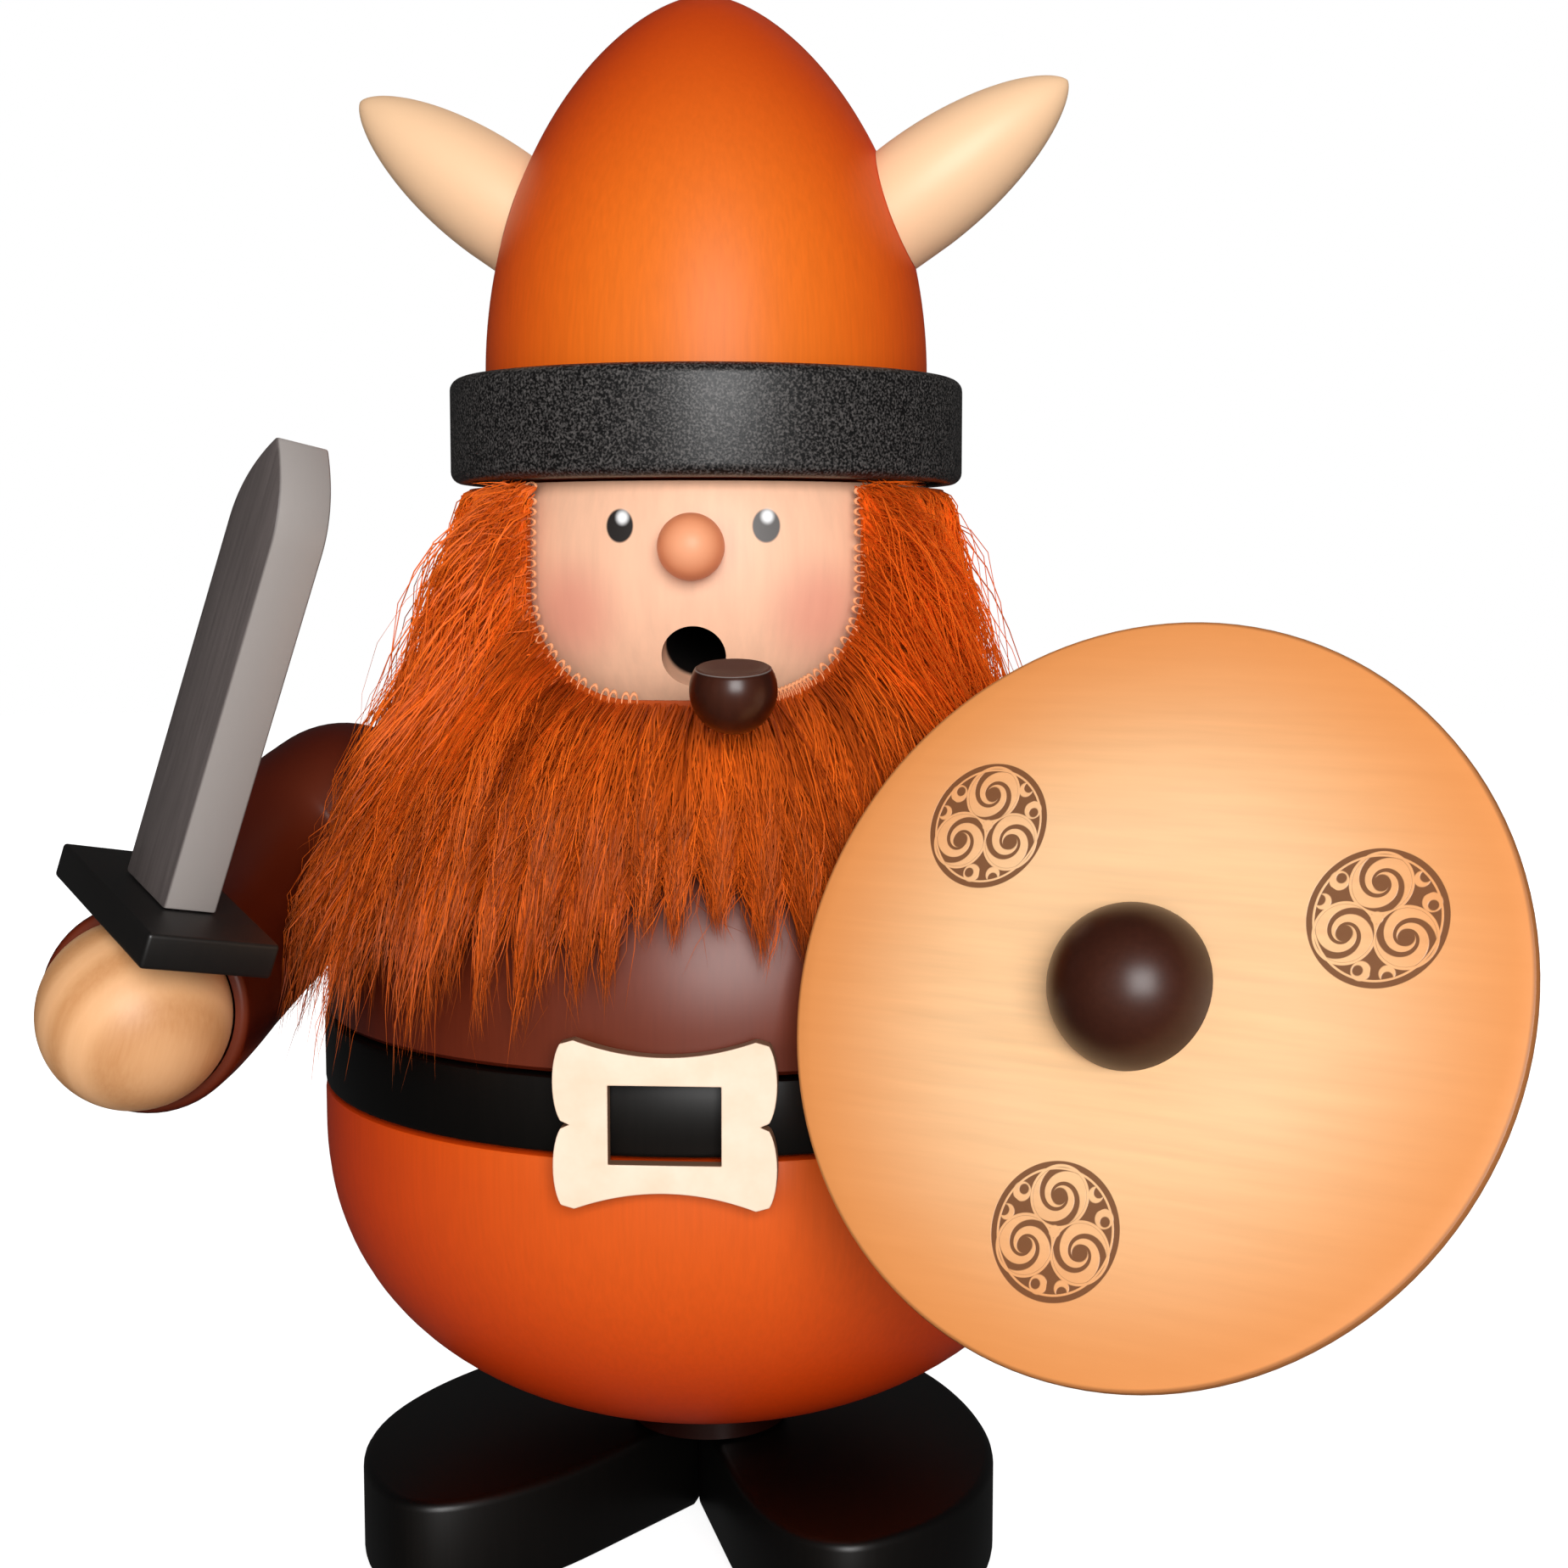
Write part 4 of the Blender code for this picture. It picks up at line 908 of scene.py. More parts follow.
class SMOKER_OT_arms(bpy.types.Operator):
    """Two curved turned sleeves and their hands"""
    bl_idname = "smoker.arms"
    bl_label = "Arms"

    def execute(self, context):
        made = plain_stain("red_brown_stained_beech_sleeves", colours().brown_stain, 0.36)
        for side, name in ((1, "left"), (-1, "right")):
            dress(self.sleeve(side, name), made, "brown_stained_wood", "arm_" + name)
            self.hand(side, name)
        return {"FINISHED"}

    def sleeve(self, side, name):
        """Turn it straight with a socket for the hand, bend it, and cope it to the body."""
        points = [place for place, _ in arm_points(side, 60)]
        length = sum((far - near).length for near, far in zip(points, points[1:]))
        edge, cuff = 0.7 * MM, sleeve_radius(1)
        profile = arc(0, 0, sizes().sleeve_radius, -math.pi / 2, 0, 16)[:-1]
        profile += [(sleeve_radius(share), (length - edge) * share) for share in steps(0, 1, 36)]
        profile += arc(cuff - edge, length - edge, edge, 0, math.pi / 2, 5)[1:]
        ball = sizes().hand_radius + 0.2 * MM
        profile += arc(0, length + HAND_OUT, ball, math.asin(-HAND_OUT / ball), -math.pi / 2, 12)
        piece = turned("sleeve_" + name, profile, 64)
        set_in(piece, Matrix())
        nothing_selected()
        bpy.ops.curve.primitive_bezier_curve_add(location=(0, 0, 0))
        path = bpy.context.object
        path.data.resolution_u = 64
        path.data.twist_mode = "Z_UP"
        ends = path.data.splines[0].bezier_points
        for end in ends:
            end.handle_left_type = end.handle_right_type = "FREE"
        shoulder, first_handle, second_handle, cuff_place = arm_curve(side)
        ends[0].co, ends[0].handle_right = shoulder, first_handle
        ends[0].handle_left = shoulder * 2 - first_handle
        ends[1].co, ends[1].handle_left = cuff_place, second_handle
        ends[1].handle_right = cuff_place * 2 - second_handle
        bend = piece.modifiers.new("bend", "CURVE")
        bend.object = path
        bend.deform_axis = "POS_Z"
        only(piece)
        bpy.ops.object.modifier_apply(modifier=bend.name)
        bpy.data.objects.remove(path, do_unlink=True)
        cope(piece, "body_cope", upper_outline, steps(UPPER_BASE - 10 * MM, UPPER_TOP, 60), 0.1 * MM)
        return piece

    def hand(self, side, name):
        across, through, along = sword_axes() if side < 0 else shield_axes()
        profile = ball_profile(sizes().hand_radius, 40, HAND_FLAT)
        piece = turned("hand_" + name + "_turned", profile, 72)
        set_in(piece, frame_from(hand_place(side), across, through, along))
        made, tree, shader = new_material(f"oiled_pale_beech_hand_{name}", 0.48, 0.12, 0.35)
        # Year rings about 2.2 mm apart cross the ball on a slant
        rings = node(tree, "ShaderNodeTexWave", {
            "Vector": pattern_place(tree, (2.2, 9, 9), (0.3, 0.5, 0.2)), "Scale": 0.16,
            "Distortion": 2.4, "Detail": 2.0, "Detail Scale": 1.2},
            wave_type="BANDS", bands_direction="X").outputs["Fac"]
        fibres = grain(tree, 0.35, 5, (0.2, 0.6, 0), 2.0)
        base = ramp(tree, rings, 0.15, 0.95, paint("#e6ab77"), paint("#c98a54"))
        base = lay(tree, base, fibres, paint("#efbf8e"), 0.35)
        finish(tree, shader, base, fibres, 0.02)
        dress(piece, made, "pale_maple", "hand_" + name)


class SMOKER_OT_sword(bpy.types.Operator):
    """Sword: a grey board with a pointed round end on a black cross bar"""
    bl_idname = "smoker.sword"
    bl_label = "Sword"

    def execute(self, context):
        across, through, along = sword_axes()
        length, width, thickness = 20.5 * MM, 12.2 * MM, 3.2 * MM
        place = hand_place(-1) + along * (HAND_FLAT + GAP)
        bar = board("sword_guard_sawn", rectangle(length / 2, width / 2), thickness)
        ease_edges(bar, 0.35 * MM, 3)
        set_in(bar, frame_from(place, across, through, along))
        made = plain_stain("black_stained_beech_guard", colours().black_stain, 0.45, 0.3, 1.7)
        dress(bar, made, "black_satin_stain", "sword_guard")
        self.blade(frame_from(place + along * (thickness + 0.1 * MM), across, along,
                              across.cross(along)))
        return {"FINISHED"}

    def blade(self, matrix):
        length, tip, half_width, thickness = 41.2 * MM, 8.5 * MM, 4.3 * MM, 5 * MM
        arch = [(half_width * (1 - share ** 2.1), length - tip + tip * share)
                for share in steps(0, 1, 24)]
        outline = [(-half_width, 0), (half_width, 0)] + arch + [(-x, y) for x, y in reversed(arch[:-1])]
        piece = board("sword_blade_sawn", outline, thickness)
        put(piece, Matrix.Translation((0, 0, -thickness / 2)))
        ease_edges(piece, 0.25 * MM, 2)
        set_in(piece, matrix)
        made, tree, shader = new_material("grey_stained_beech_blade", 0.42, 0.2)
        fibres = noise(tree, (0.4, 9, 0.4), detail=3.0)
        grey = colours().blade_grey
        base = ramp(tree, fibres, 0.3, 0.75, shade(grey, 0.8), shade(grey, 1.15))
        # The sawn edges are paler grey
        edge = soft_step(tree, maths(tree, "ABSOLUTE", own_height(tree)), 2.45 * MM, 2.2 * MM)
        base = lay(tree, base, edge, paint("#9c9591"))
        finish(tree, shader, base, fibres)
        dress(piece, made, "grey_painted_wood", "sword_blade")


class SMOKER_OT_shield(bpy.types.Operator):
    """Round shield with three engraved roundels and a boss"""
    bl_idname = "smoker.shield"
    bl_label = "Shield"

    def execute(self, context):
        right, up, out = shield_axes()
        place = hand_place(1) + out * (HAND_FLAT + GAP)
        radius = sizes().shield_radius
        pad, back, rim, front = 5 * MM, 4.6 * MM, 1.2 * MM, 0.6 * MM
        profile = [(0, 0), (pad, 0)]
        profile += [(pad + (radius - pad) * share, back * share ** 0.8) for share in steps(0, 1, 20)[1:]]
        profile[-1] = (radius - 0.25 * MM, back)
        profile += [(radius, back + 0.3 * MM), (radius, back + rim - 0.3 * MM),
                    (radius - 0.1 * MM, back + rim - 0.08 * MM)]
        profile += [((radius - 0.35 * MM) * share, back + rim + front * (1 - share ** 2))
                    for share in steps(1, 0, 24)]
        disc = turned("shield_turned", profile, 128)
        set_in(disc, frame_from(place, right, up, out))
        dress(disc, self.shield_material(radius), "honey_stained_wood", "shield")

        half_ball = arc(0, 0, sizes().boss_radius, 0, math.pi / 2, 24)
        boss = turned("shield_boss_turned", [(0, 0)] + half_ball, 72)
        set_in(boss, frame_from(place + out * (back + rim + front), right, up, out))
        made = plain_stain("dark_brown_lacquered_beech_boss", colours().dark_brown, 0.36, coat_ior=1.45)
        dress(boss, made, "dark_brown_lacquer", "shield_boss")
        return {"FINISHED"}

    def shield_material(self, radius):
        """Honey stain, paler in the middle, with a burnt rim line and engraved roundels."""
        made, tree, shader = new_material("honey_stained_maple_shield", 0.42, 0.3, 0.3)
        x, y, depth = split(tree, attribute(tree, "own_place"))
        reach = self.length(tree, x, y)
        slant = (0, 0, -0.35)
        fibres = noise(tree, (14, 0.8, 4), slant, 4.0)
        clouds = noise(tree, (22, 9, 9), slant)
        honey = colours().honey_stain
        base = ramp(tree, fibres, 0.25, 0.75, shade(honey, 0.9), shade(honey, 1.1))
        base = lay(tree, base, clouds, paint("#ffd9ae"), 0.5)
        outward = soft_step(tree, reach, 0.38 * radius, 1.02 * radius)
        base = lay(tree, base, outward, paint("#e0863a"), 0.85)
        line = soft_step(tree, reach, radius - 0.45 * MM, radius - 0.15 * MM)
        base = lay(tree, base, line, paint("#7a451c"), 0.65)
        front = soft_step(tree, depth, 5.3 * MM, 5.6 * MM)
        cutting = times(tree, self.roundels(tree, x, y), front)
        base = lay(tree, base, cutting, paint("#6e4022"), 0.92)
        height = maths(tree, "SUBTRACT", times(tree, fibres, 0.1), cutting)
        finish(tree, shader, base, height, 0.12, 0.5)
        return made

    def length(self, tree, x, y):
        """Length of a flat vector."""
        return maths(tree, "SQRT", maths(tree, "ADD", times(tree, x, x), times(tree, y, y)))

    def fold(self, tree, x, y, first):
        """Turn every third of a circle onto the third round +X."""
        third = math.tau / 3
        angle = maths(tree, "SUBTRACT", maths(tree, "ARCTAN2", y, x), first - third / 2)
        angle = maths(tree, "SUBTRACT", maths(tree, "FLOORED_MODULO", angle, third), third / 2)
        reach = self.length(tree, x, y)
        return (times(tree, reach, maths(tree, "COSINE", angle)),
                times(tree, reach, maths(tree, "SINE", angle)), reach)

    def disc(self, tree, x, y, place, radius):
        """1 inside a circle with a crisp edge."""
        away = self.length(tree, maths(tree, "SUBTRACT", x, place[0] * MM),
                           maths(tree, "SUBTRACT", y, place[1] * MM))
        return soft_step(tree, away, (radius + 0.06) * MM, (radius - 0.06) * MM)

    def roundels(self, tree, x, y):
        """Three roundels of three whirls each: two-armed spirals in a ring, and moons between them."""
        x, y, _ = self.fold(tree, x, y, math.radians(21.7))
        x = maths(tree, "SUBTRACT", x, 20.5 * MM)
        x, y, reach = self.fold(tree, x, y, math.radians(70))
        rim, blur = sizes().roundel_radius, 0.04 * MM
        whole = soft_step(tree, reach, rim + blur, rim - blur)
        side = maths(tree, "SUBTRACT", x, 2.8 * MM)
        away = self.length(tree, side, y)
        turns = maths(tree, "DIVIDE", maths(tree, "ARCTAN2", y, side), math.pi)
        curl = maths(tree, "LOGARITHM", maths(tree, "DIVIDE", away, MM), math.e)
        wave = maths(tree, "ADD", turns, times(tree, curl, 1.2))
        wave = maths(tree, "SUBTRACT", maths(tree, "FLOORED_MODULO", wave, 1.0), 0.5)
        arms = times(tree, soft_step(tree, maths(tree, "ABSOLUTE", wave), 0.36, 0.29),
                     soft_step(tree, away, 0.62 * MM, 0.76 * MM),
                     soft_step(tree, away, 2.4 * MM, 2.3 * MM))
        ring = self.line(tree, away, 2.46, 0.11)
        left = maths(tree, "MAXIMUM", arms, ring)
        left = maths(tree, "MAXIMUM", left, self.line(tree, reach, 5.02, 0.09))
        for place, radius, hollow, smaller in (((2.8, 3.35), 0.8, (3.0, 3.2), 0.42),
                                               ((3.3, -3.1), 0.66, (3.5, -3.35), 0.46)):
            moon = maths(tree, "SUBTRACT", self.disc(tree, x, y, place, radius),
                         self.disc(tree, x, y, hollow, smaller), clamp=True)
            left = maths(tree, "MAXIMUM", left, moon)
        left = maths(tree, "MAXIMUM", left, self.disc(tree, x, y, (0, 0), 0.5))
        return times(tree, whole, maths(tree, "SUBTRACT", 1.0, left))

    def line(self, tree, reach, radius, half_width):
        """1 on a thin ring."""
        off = maths(tree, "ABSOLUTE", maths(tree, "SUBTRACT", reach, radius * MM))
        return soft_step(tree, off, (half_width + 0.04) * MM, (half_width - 0.03) * MM)


class SMOKER_OT_fur(bpy.types.Operator):
    """Beard and hair: a hide round the head, its stitched edge, and thousands of hairs"""
    bl_idname = "smoker.fur"
    bl_label = "Fur"

    # Lowest tips by angle from the front, in degrees and millimetres
    HEM = ((-180, 75), (-112, 76), (-100, 84), (-75, 84), (-62, 74), (-54, 53), (-38, 53), (-25, 56.5),
           (-14, 60.5), (-4, 66), (10, 67), (20, 65), (35, 60), (54, 58), (62, 76), (75, 84), (100, 84),
           (112, 76), (180, 75))
    # The opening for the face: half its width, its lower edge from the head's centre, and its corners
    HALF, LOW, CORNER = 16.0 * MM, -12.4 * MM, 10.5 * MM
    # Heights between which the hide lies
    HIDE_LOW, HIDE_TOP = 78 * MM, 110.8 * MM
    STRIPS = 7
    POINTS = 7
    EDGE_HAIRS = 5200

    def execute(self, context):
        made = self.fur_material()
        self.hide(made)
        self.stitches()
        self.hairs(made)
        return {"FINISHED"}

    def fur_material(self):
        """Long acrylic pile: satin hairs, darker at the root as painted shade, and paler or browner by the
        strand.
        """
        made, tree, shader = new_material("rust_acrylic_fur", 0.5, specular=0.14)
        tone, along, dull = split(tree, attribute(tree, "strand"))
        fur = colours().fur_orange
        base = ramp(tree, tone, 0.0, 1.0, shade(fur, 0.36), shade(fur, 1.85))
        base = lay(tree, base, times(tree, soft_step(tree, along, 0.55, 1.0), dull), paint("#84421f"))
        # Painted shade darkens each hair towards its root
        base = lay(tree, base, soft_step(tree, along, 0.3, 0.0), paint("#8e2c08"), 0.5)
        finish(tree, shader, base)
        return made

    def hide_outline(self, height):
        """Outside of the backing: it bridges the neck and lies on head and shoulders."""
        return np.interp(height / MM, (60, 76, 79, 82, 86, 90, 95, 100, 103, 107, 110.8),
                         (41.5, 36.8, 34.8, 32.0, 28.6, 26.6, 25.9, 26.0, 26.0, 25.8, 24.8)) * MM

    def hide(self, made):
        """The pile's backing, open for the face and cleared of the shoulders."""
        heights = steps(self.HIDE_TOP, self.HIDE_LOW, 30)
        thick = 0.55 * MM
        profile = [(self.hide_outline(height), height) for height in heights]
        profile += [(self.hide_outline(height) - thick, height) for height in reversed(heights)]
        piece = turned("fur_hide", profile + [profile[0]], 96)
        window = board("face_window", self.face_edge(24), 60 * MM)
        put(window, face_frame(0, 0, HEAD_CENTRE))
        put(piece, on_axis())
        cut(piece, window)
        for side in (-1, 1):
            place, radius = arm_points(side)[0]
            ball = turned("shoulder_cutter", ball_profile(radius + 0.4 * MM, 24), 48)
            put(ball, Matrix.Translation(place))
            cut(piece, ball)
        # The backing takes a low tone and a place near the root, so it is dark and gets part of the roots'
        # painted shade
        store(piece.data, "strand", np.tile((0.2, 0.2, 0.0), (len(piece.data.vertices), 1)))
        dress(piece, made, "rust_fur", "hair_and_beard")

    def face_edge(self, count):
        """Outline of the face opening in the face's own axes, round its lower corners."""
        found = [(self.HALF, 30 * MM), (-self.HALF, 30 * MM)]
        for side, first in ((-1, math.pi), (1, 1.5 * math.pi)):
            found += arc(side * (self.HALF - self.CORNER), self.LOW + self.CORNER, self.CORNER,
                         first, first + math.pi / 2, count)
        return found

    def edge_path(self, spacing, out):
        """Places along the opening's edge on the backing, with their directions away from the face."""
        heights = [(8 - 0.5 * index) * MM for index in range(21)]
        heights = [height for height in heights if height > self.LOW + self.CORNER]
        line = [((-self.HALF, height), (-1, 0)) for height in heights]
        for side, first in ((-1, math.pi), (1, 1.5 * math.pi)):
            angles = (first, first + math.pi / 2, 40)
            line += zip(arc(side * (self.HALF - self.CORNER), self.LOW + self.CORNER, self.CORNER, *angles),
                        arc(0, 0, 1, *angles))
        line += [((self.HALF, height), (1, 0)) for height in reversed(heights)]
        found, walked, last = [], 0.0, None
        for (x, y), away in line:
            if last is not None:
                walked += math.hypot(x - last[0], y - last[1])
            last = (x, y)
            if walked < len(found) * spacing:
                continue
            x, y = x + out * away[0], y + out * away[1]
            height = HEAD_CENTRE + y
            reach = math.sqrt(max(0.0, self.hide_outline(height) ** 2 - x * x))
            found.append((Vector((x, -reach, height)), Vector((away[0], 0, away[1]))))
        return found

    def stitches(self):
        """Overlocked thread along the opening: one small loop, copied every millimetre."""
        made, _, shader = new_material("orange_overlock_thread", 0.6, specular=0.3)
        shader.inputs["Base Color"].default_value = paint("#f0a271")
        nothing_selected()
        bpy.ops.mesh.primitive_torus_add(major_radius=0.58 * MM, minor_radius=0.16 * MM, major_segments=12,
                                         minor_segments=5, location=(0, 0, 0))
        loop = bpy.context.object
        bpy.ops.object.mode_set(mode="EDIT")
        bpy.ops.mesh.select_all(action="SELECT")
        bpy.ops.transform.resize(value=(1.25, 0.62, 1.0))
        bpy.ops.object.mode_set(mode="OBJECT")
        smooth(loop, 80)
        copies = []
        for place, away in self.edge_path(1.05 * MM, 0.1 * MM):
            copy = loop.copy()
            copy.data = loop.data.copy()
            bpy.context.scene.collection.objects.link(copy)
            out = Vector((place.x, place.y, 0)).normalized()
            across = (away - out * away.dot(out)).normalized()
            copy.matrix_world = facing() @ frame_from(place - out * 0.1 * MM, across,
                                                      out.cross(across), out)
            copies.append(copy)
        bpy.data.objects.remove(loop, do_unlink=True)
        nothing_selected()
        for copy in copies:
            copy.select_set(True)
        bpy.context.view_layer.objects.active = copies[0]
        bpy.ops.object.join()
        piece = bpy.context.object
        piece.name = "edge_stitches"
        bpy.ops.object.transform_apply(location=True, rotation=True, scale=True)
        dress(piece, made, "rust_fur")

    def hairs(self, made):
        """Grow the hairs; built from arrays, because no modelling operator makes thousands."""
        rng = np.random.default_rng(7)
        paths, tone, dull, thick = self.long_hairs(rng, sizes().hair_count)
        order = np.argsort(np.arctan2(paths[:, 0, 0], -paths[:, 0, 1]))
        for index, chosen in enumerate(np.array_split(order, self.STRIPS)):
            self.weave(f"fur_strip_{index + 1}", paths[chosen], rng, made, tone[chosen], dull[chosen],
                       thick[chosen])
        paths, tone, dull = self.edge_hairs(rng, self.EDGE_HAIRS)
        self.weave("fur_edge", paths, rng, made, tone, dull, np.full(len(paths), 0.8))

    def roots(self, rng, count):
        """Angles from the front and heights of the roots: denser in front, none on the face or the arms."""
        tries = 4 * count
        phi = np.where(rng.random(tries) < 0.62, rng.uniform(-1.08, 1.08, tries),
                       rng.uniform(-math.pi, math.pi, tries))
        high = rng.uniform(78.5 * MM, 110.7 * MM, tries)
        side = 26 * MM * np.sin(phi - FACE_TURN)
        half, low, corner = 16.2 * MM, HEAD_CENTRE - 12.6 * MM, 10.5 * MM
        across = np.maximum(np.abs(side) - (half - corner), 0)
        below = np.maximum((low + corner) - high, 0)
        face = (np.abs(phi) < 1.1) & (high > low) & (np.abs(side) < half)
        face &= across ** 2 + below ** 2 < corner ** 2
        over_arm = (np.abs(np.abs(phi) - 1.4) < 0.4) & (high < 87 * MM)
        keep = np.flatnonzero(~face & ~over_arm)[:count]
        return phi[keep], high[keep]

    def long_hairs(self, rng, count):
        """Hairs that leave the backing outwards and then fall in locks, inside a spreading cone."""
        phi, high = self.roots(rng, count)
        count = len(phi)

        # Three in four are cut shorter, and one in fifty stands out wild
        hem = np.interp(np.degrees(phi), *np.array(self.HEM).T) * MM
        length = np.minimum((high - hem) * 1.05, (17 + 11 * rng.random(count)) * MM)
        length *= np.where(rng.random(count) < 0.76, rng.uniform(0.38, 0.76, count),
                           rng.uniform(0.76, 1.0, count))
        length = np.maximum(length, 5 * MM)
        wild = rng.random(count) < 0.02
        length[wild] *= 1.12
        low_end = high - 0.93 * length

        # Each tip lies in a layer between the body and a cone that spreads downwards
        layer = rng.random(count) ** 0.42
        cone = 28.6 * MM + 0.34 * (self.HIDE_TOP - low_end)
        chest = np.array([upper_outline(value) for value in low_end])
        fanned = np.clip(1 - np.abs(np.degrees(np.abs(phi)) - 45) / 20, 0, 1)
        fanned *= np.clip((92 * MM - low_end) / (26 * MM), 0, 1)
        cone = np.minimum(cone, chest + 5.6 * MM) + 8 * MM * fanned
        inner = np.maximum(self.hide_outline(low_end), chest + 0.4 * MM)
        end_reach = inner + np.maximum(cone - inner, 0.5 * MM) * layer
        start_reach = self.hide_outline(high) - 0.1 * MM
        end_phi = phi + rng.normal(0, 0.045, count)
        beside = np.clip(1 - np.abs(np.abs(phi) - 0.8) / 0.4, 0, 1) * (high > HEAD_CENTRE - 8 * MM)
        end_phi += np.sign(phi) * beside * 0.16
        end_phi[wild] += rng.normal(0, 0.12, int(wild.sum()))
        end_reach[wild] += rng.uniform(-1.5, 1.0, int(wild.sum())) * MM

        # Neighbours lean towards the same guide hair
        guides = rng.choice(count, 620, replace=False)
        spot = np.stack([phi * 30 * MM, high], 1)
        nearest = np.empty(count, int)
        for part in np.array_split(np.arange(count), 12):
            nearest[part] = guides[np.argmin(((spot[part, None] - spot[guides][None]) ** 2).sum(2), 1)]
        pull = np.where(wild, 0.1, rng.uniform(0.3, 0.85, count))
        end_phi += (end_phi[nearest] - end_phi) * pull
        end_reach += (end_reach[nearest] - end_reach) * pull * 0.5
        low_end += (low_end[nearest] - low_end) * pull * 0.35

        # The tips draw together in uneven locks, with gaps between them low down
        locks = np.cumsum(rng.uniform(0.035, 0.105, 100)) - 3.5
        lock = np.argmin(np.abs(end_phi[:, None] - locks[None]), 1)
        hang = np.clip((84 * MM - low_end) / (12 * MM), 0, 1)
        low_end += rng.uniform(-3.0, 3.0, len(locks))[lock] * MM * hang
        draw = np.where(wild, 0.0, rng.uniform(0.7, 0.99, count)) * np.clip(hang, 0.12, 1)
        middle = locks[lock]

        # Hairs high on the head stand off further before they fall
        along = np.linspace(0, 1, self.POINTS)[None]
        bow = rng.normal(0, 0.045, count)[:, None]
        lift = np.clip((high - 100 * MM) / (9 * MM), 0, 1)[:, None]
        angle = phi[:, None] + (end_phi - phi)[:, None] * along ** 1.3
        angle += bow * np.sin(math.pi * along) * along
        angle += (middle[:, None] - angle) * draw[:, None] * along ** 1.5
        outward = 1 - (1 - along) ** (1.7 + 1.6 * lift)
        reach = start_reach[:, None] + (end_reach - start_reach)[:, None] * outward
        height = high[:, None] + (low_end - high)[:, None] * along ** (1.18 + 0.6 * lift)
        reach = reach + rng.normal(0, 0.24, reach.shape) * MM * np.minimum(3 * along, 1)
        angle = angle + rng.normal(0, 0.009, reach.shape) * along
        paths = np.stack([reach * np.sin(angle), -reach * np.cos(angle), height], 2)
        for link in range(1, self.POINTS):
            paths[:, link] = self.push_out(paths[:, link])
        # Tone differs at random by hair and by lock; hairs rooted higher are made paler, as painted light
        # on the upper fur
        tone = rng.normal(0.52, 0.18, count) + 0.14 * rng.normal(0, 1, count)[nearest]
        tone = np.clip(tone + 0.38 * np.clip((high - 90 * MM) / (18 * MM), -0.3, 1), 0, 1)
        dull = np.clip(rng.normal(0.45, 0.3, count), 0, 1)
        return paths, tone, dull, np.where(wild, 0.55, 1.0)

    def edge_hairs(self, rng, count):
        """Short tangled hairs over the stitches, combed away from the face."""
        spots = self.edge_path(0.25 * MM, 0.0)
        chosen = rng.integers(0, len(spots), count)
        place = np.array([spots[index][0] for index in chosen])
        away = np.array([spots[index][1] for index in chosen])
        place = place + away * (rng.uniform(0.7, 7.0, count) * MM)[:, None]
        place += rng.normal(0, 0.4, place.shape) * MM
        out = place * np.array([1, 1, 0])
        reach = np.linalg.norm(out, axis=1)
        out /= reach[:, None]
        place += out * (self.hide_outline(place[:, 2]) - reach)[:, None]
        heading = out * 0.7 + away * 0.75 + np.array([0, 0, -0.35]) + rng.normal(0, 0.42, place.shape)
        heading /= np.linalg.norm(heading, axis=1)[:, None]
        length = rng.uniform(2.5, 6.0, count) * MM
        path = [place]
        for link in range(4):
            heading = heading + np.array([0, 0, -0.22]) + rng.normal(0, 0.16, place.shape)
            heading /= np.linalg.norm(heading, axis=1)[:, None]
            path.append(path[-1] + heading * (length / 4)[:, None])
        turn = np.array(Matrix.Rotation(FACE_TURN, 3, "Z"))
        paths = np.stack(path, 1) @ turn.T
        for link in range(1, 5):
            paths[:, link] = self.push_out(paths[:, link])
        return paths, np.clip(rng.normal(0.62, 0.2, count), 0, 1), np.zeros(count)

    def push_out(self, place):
        """Keep points off the body, the helmet band, the arms and the back of the shield."""
        reach = np.hypot(place[:, 0], place[:, 1])
        heights = np.array(steps(40 * MM, 112 * MM, 160))
        chest = np.array([upper_outline(value) for value in heights])
        least = np.maximum(np.interp(place[:, 2], heights, chest),
                           np.where(place[:, 2] > self.HIDE_LOW, self.hide_outline(place[:, 2]), 0))
        least += 0.15 * MM
        scale = np.where(reach < least, least / np.maximum(reach, 1e-6), 1.0)
        place = place * np.stack([scale, scale, np.ones_like(scale)], 1)
        place[:, 2] = np.minimum(place[:, 2], HEAD_TOP)
        for side in (-1, 1):
            for centre, radius in arm_points(side, 12):
                away = place - np.array(centre - AXIS)
                gap = np.linalg.norm(away, axis=1)
                near = gap < radius + 0.4 * MM
                place[near] += away[near] * ((radius + 0.4 * MM) / gap[near] - 1)[:, None]
        out = shield_axes()[2]
        centre = np.array(hand_place(1) + out * HAND_FLAT - AXIS)
        height = (place - centre) @ np.array(out)
        across = np.linalg.norm(place - centre - height[:, None] * np.array(out), axis=1)
        limit = 0.1 * across
        blocked = (across < 31 * MM) & (height > limit - 0.4 * MM)
        place[blocked] -= np.array(out) * (height - limit + 0.4 * MM)[blocked][:, None]
        return place

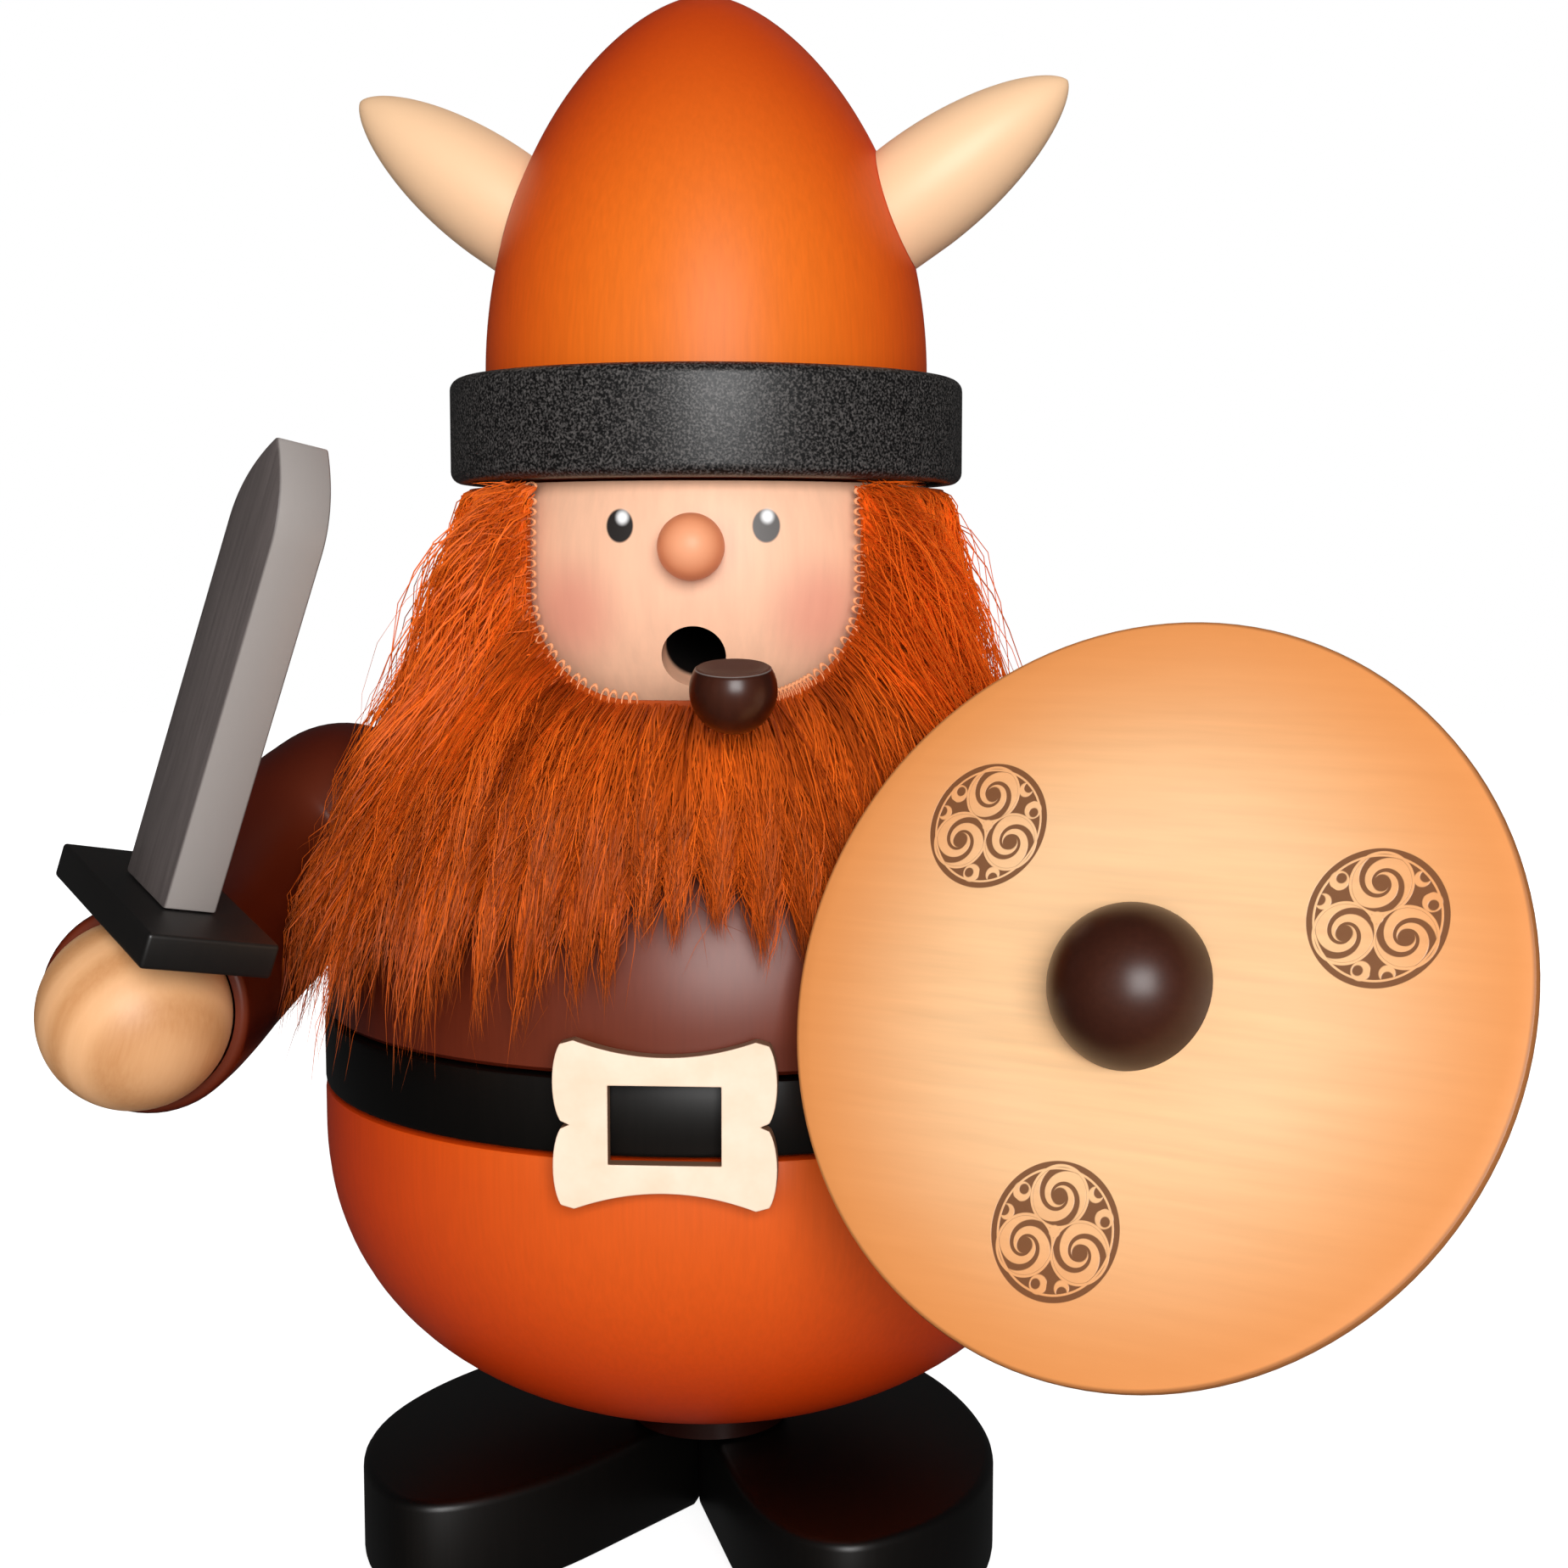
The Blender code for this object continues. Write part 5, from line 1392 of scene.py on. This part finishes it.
    def weave(self, name, paths, rng, made, tone, dull, thick):
        """Turn paths into thin three-sided hairs that end in a point."""
        count, points = paths.shape[:2]
        along = np.gradient(paths, axis=1)
        along /= np.linalg.norm(along, axis=2)[:, :, None] + 1e-9
        side = np.cross(along, np.array([0.3, 0.2, 0.93]))
        side /= np.linalg.norm(side, axis=2)[:, :, None] + 1e-9
        other = np.cross(along, side)
        share = np.linspace(0, 1, points)
        width = (rng.uniform(0.7, 1.25, count) * thick)[:, None] * sizes().hair_width
        width = width * (1 - 0.7 * share ** 1.2)[None]
        rings = [paths + (side * math.cos(turn) + other * math.sin(turn)) * width[:, :, None]
                 for turn in (0, math.tau / 3, 2 * math.tau / 3)]
        rings = np.stack(rings, 2)[:, :-1]
        spots = np.concatenate([rings.reshape(count, -1, 3), paths[:, -1:]], 1)
        each = spots.shape[1]
        faces = []
        for link in range(points - 2):
            for corner in range(3):
                after = (corner + 1) % 3
                near, far = 3 * link, 3 * link + 3
                faces.append((near + corner, near + after, far + after, far + corner))
        last = 3 * (points - 2)
        ends = [(last, last + 1, each - 1), (last + 1, last + 2, each - 1), (last + 2, last, each - 1),
                (2, 1, 0)]
        first = (np.arange(count) * each)[:, None, None]
        quads = (np.array(faces)[None] + first).reshape(-1, 4)
        triangles = (np.array(ends)[None] + first).reshape(-1, 3)
        mesh = bpy.data.meshes.new(name)
        vertices = spots.reshape(-1, 3) + np.array(AXIS)
        mesh.vertices.add(len(vertices))
        mesh.vertices.foreach_set("co", vertices.astype(np.float32).ravel())
        corners = np.concatenate([quads.ravel(), triangles.ravel()]).astype(np.int32)
        mesh.loops.add(len(corners))
        mesh.loops.foreach_set("vertex_index", corners)
        starts = np.concatenate([np.arange(len(quads)) * 4,
                                 len(quads) * 4 + np.arange(len(triangles)) * 3]).astype(np.int32)
        mesh.polygons.add(len(starts))
        mesh.polygons.foreach_set("loop_start", starts)
        mesh.update(calc_edges=True)
        mesh.validate()
        # Each point's tone, its share along the hair, and how dull the tip is
        strand = np.zeros((count, each, 3), np.float32)
        strand[:, :, 0] = tone[:, None]
        strand[:, :, 1] = np.concatenate([np.repeat(share[:-1], 3), [1.0]])[None]
        strand[:, :, 2] = dull[:, None]
        store(mesh, "strand", strand)
        piece = bpy.data.objects.new(name, mesh)
        bpy.context.scene.collection.objects.link(piece)
        smooth(piece, 80)
        dress(piece, made, "rust_fur")


class SMOKER_OT_stage(bpy.types.Operator):
    """Pale floor, soft lights and the camera"""
    bl_idname = "smoker.stage"
    bl_label = "Stage"

    def execute(self, context):
        nothing_selected()
        bpy.ops.mesh.primitive_circle_add(vertices=96, radius=1.4, fill_type="NGON", location=(0, 0, 0))
        floor = context.object
        floor.name = "floor"
        made, tree, shader = new_material("white_paper_floor", 0.9, specular=0.0)
        shader.inputs["Base Color"].default_value = (0.45, 0.45, 0.45, 1)
        shader.inputs["Emission Color"].default_value = (1, 1, 1, 1)
        seen = node(tree, "ShaderNodeLightPath").outputs["Is Camera Ray"]
        spot = node(tree, "ShaderNodeTexCoord").outputs["Object"]
        away = node(tree, "ShaderNodeVectorMath", {0: spot}, operation="LENGTH").outputs["Value"]
        glow = maths(tree, "ADD", times(tree, soft_step(tree, away, 0.1, 0.5), 0.16), 0.84)
        tree.links.new(times(tree, seen, glow), shader.inputs["Emission Strength"])
        floor.data.materials.append(made)
        floor.visible_glossy = False
        self.world()
        self.lamp("key_softbox", (0.13, -0.68, 0.28), 0.36, 4.8)
        self.lamp("fill_softbox", (-0.3, -0.6, 0.16), 0.36, 0.9, shiny=False)
        self.lamp("back_light", (0.1, 0.6, 0.5), 0.5, 3.2, shiny=False)
        self.camera()
        return {"FINISHED"}

    def world(self):
        """White behind the figure, and a dimmer white that lights it from all round."""
        world = bpy.data.worlds.new("white_studio")
        bpy.context.scene.world = world
        world.use_nodes = True
        tree = world.node_tree
        back = tree.nodes["Background"]
        back.inputs["Color"].default_value = (1, 1, 1, 1)
        rays = node(tree, "ShaderNodeLightPath")
        soft = node(tree, "ShaderNodeMapRange", {"Value": rays.outputs["Is Glossy Ray"],
                                                 "To Min": 0.18, "To Max": 0.045}).outputs["Result"]
        tree.links.new(maths(tree, "MAXIMUM", rays.outputs["Is Camera Ray"], soft), back.inputs["Strength"])

    def lamp(self, name, place, side, power, shiny=True):
        """A square lamp aimed at the middle of the figure."""
        nothing_selected()
        bpy.ops.object.light_add(type="AREA", location=place)
        made = bpy.context.object
        made.name = name
        made.data.shape = "SQUARE"
        made.data.size = side
        made.data.energy = power
        made.visible_glossy = shiny
        aim = Vector((0, 0, 0.08)) - Vector(place)
        made.rotation_euler = aim.to_track_quat("-Z", "Y").to_euler()

    def camera(self):
        """The photo's view, from close by and a little above; lengths of the lens are in pixels."""
        focal_pixels, frame_pixels, sensor = 2700, 1848, 36
        nothing_selected()
        place = AXIS + Vector((22.9 * MM, -242.05 * MM, 103.5 * MM))
        bpy.ops.object.camera_add(location=place)
        made = bpy.context.object
        made.rotation_euler = (math.radians(90 - 5.57), 0, math.radians(3.5))
        made.data.sensor_width = sensor
        made.data.lens = sensor * focal_pixels / frame_pixels
        made.data.clip_start = 0.01
        bpy.context.scene.camera = made
        bpy.context.scene.view_settings.view_transform = "Standard"


class SMOKER_PT_panel(bpy.types.Panel):
    """Sizes, colours and the buttons that make each piece"""
    bl_idname = "SMOKER_PT_panel"
    bl_label = "Viking smoker"
    bl_space_type = "VIEW_3D"
    bl_region_type = "UI"
    bl_category = "Smoker"

    def draw(self, context):
        for group in (context.scene.smoker_sizes, context.scene.smoker_colours):
            for name in group.bl_rna.properties.keys():
                if name not in ("rna_type", "name"):
                    self.layout.prop(group, name)
        for operator in OPERATORS:
            self.layout.operator(operator.bl_idname)


OPERATORS = (SMOKER_OT_stage, SMOKER_OT_shoes, SMOKER_OT_body, SMOKER_OT_buckle, SMOKER_OT_head,
             SMOKER_OT_helmet, SMOKER_OT_arms, SMOKER_OT_sword, SMOKER_OT_shield, SMOKER_OT_fur)
CLASSES = (SmokerSizes, SmokerColours, *OPERATORS, SMOKER_PT_panel)


def register():
    for item in CLASSES:
        bpy.utils.register_class(item)
    bpy.types.Scene.smoker_sizes = PointerProperty(type=SmokerSizes)
    bpy.types.Scene.smoker_colours = PointerProperty(type=SmokerColours)


def unregister():
    del bpy.types.Scene.smoker_colours
    del bpy.types.Scene.smoker_sizes
    for item in reversed(CLASSES):
        bpy.utils.unregister_class(item)


def main():
    register()
    bpy.ops.smoker.stage()
    bpy.ops.smoker.shoes()
    bpy.ops.smoker.body()
    bpy.ops.smoker.buckle()
    bpy.ops.smoker.head()
    bpy.ops.smoker.helmet()
    bpy.ops.smoker.arms()
    bpy.ops.smoker.sword()
    bpy.ops.smoker.shield()
    bpy.ops.smoker.fur()


if __name__ == "__main__":
    main()
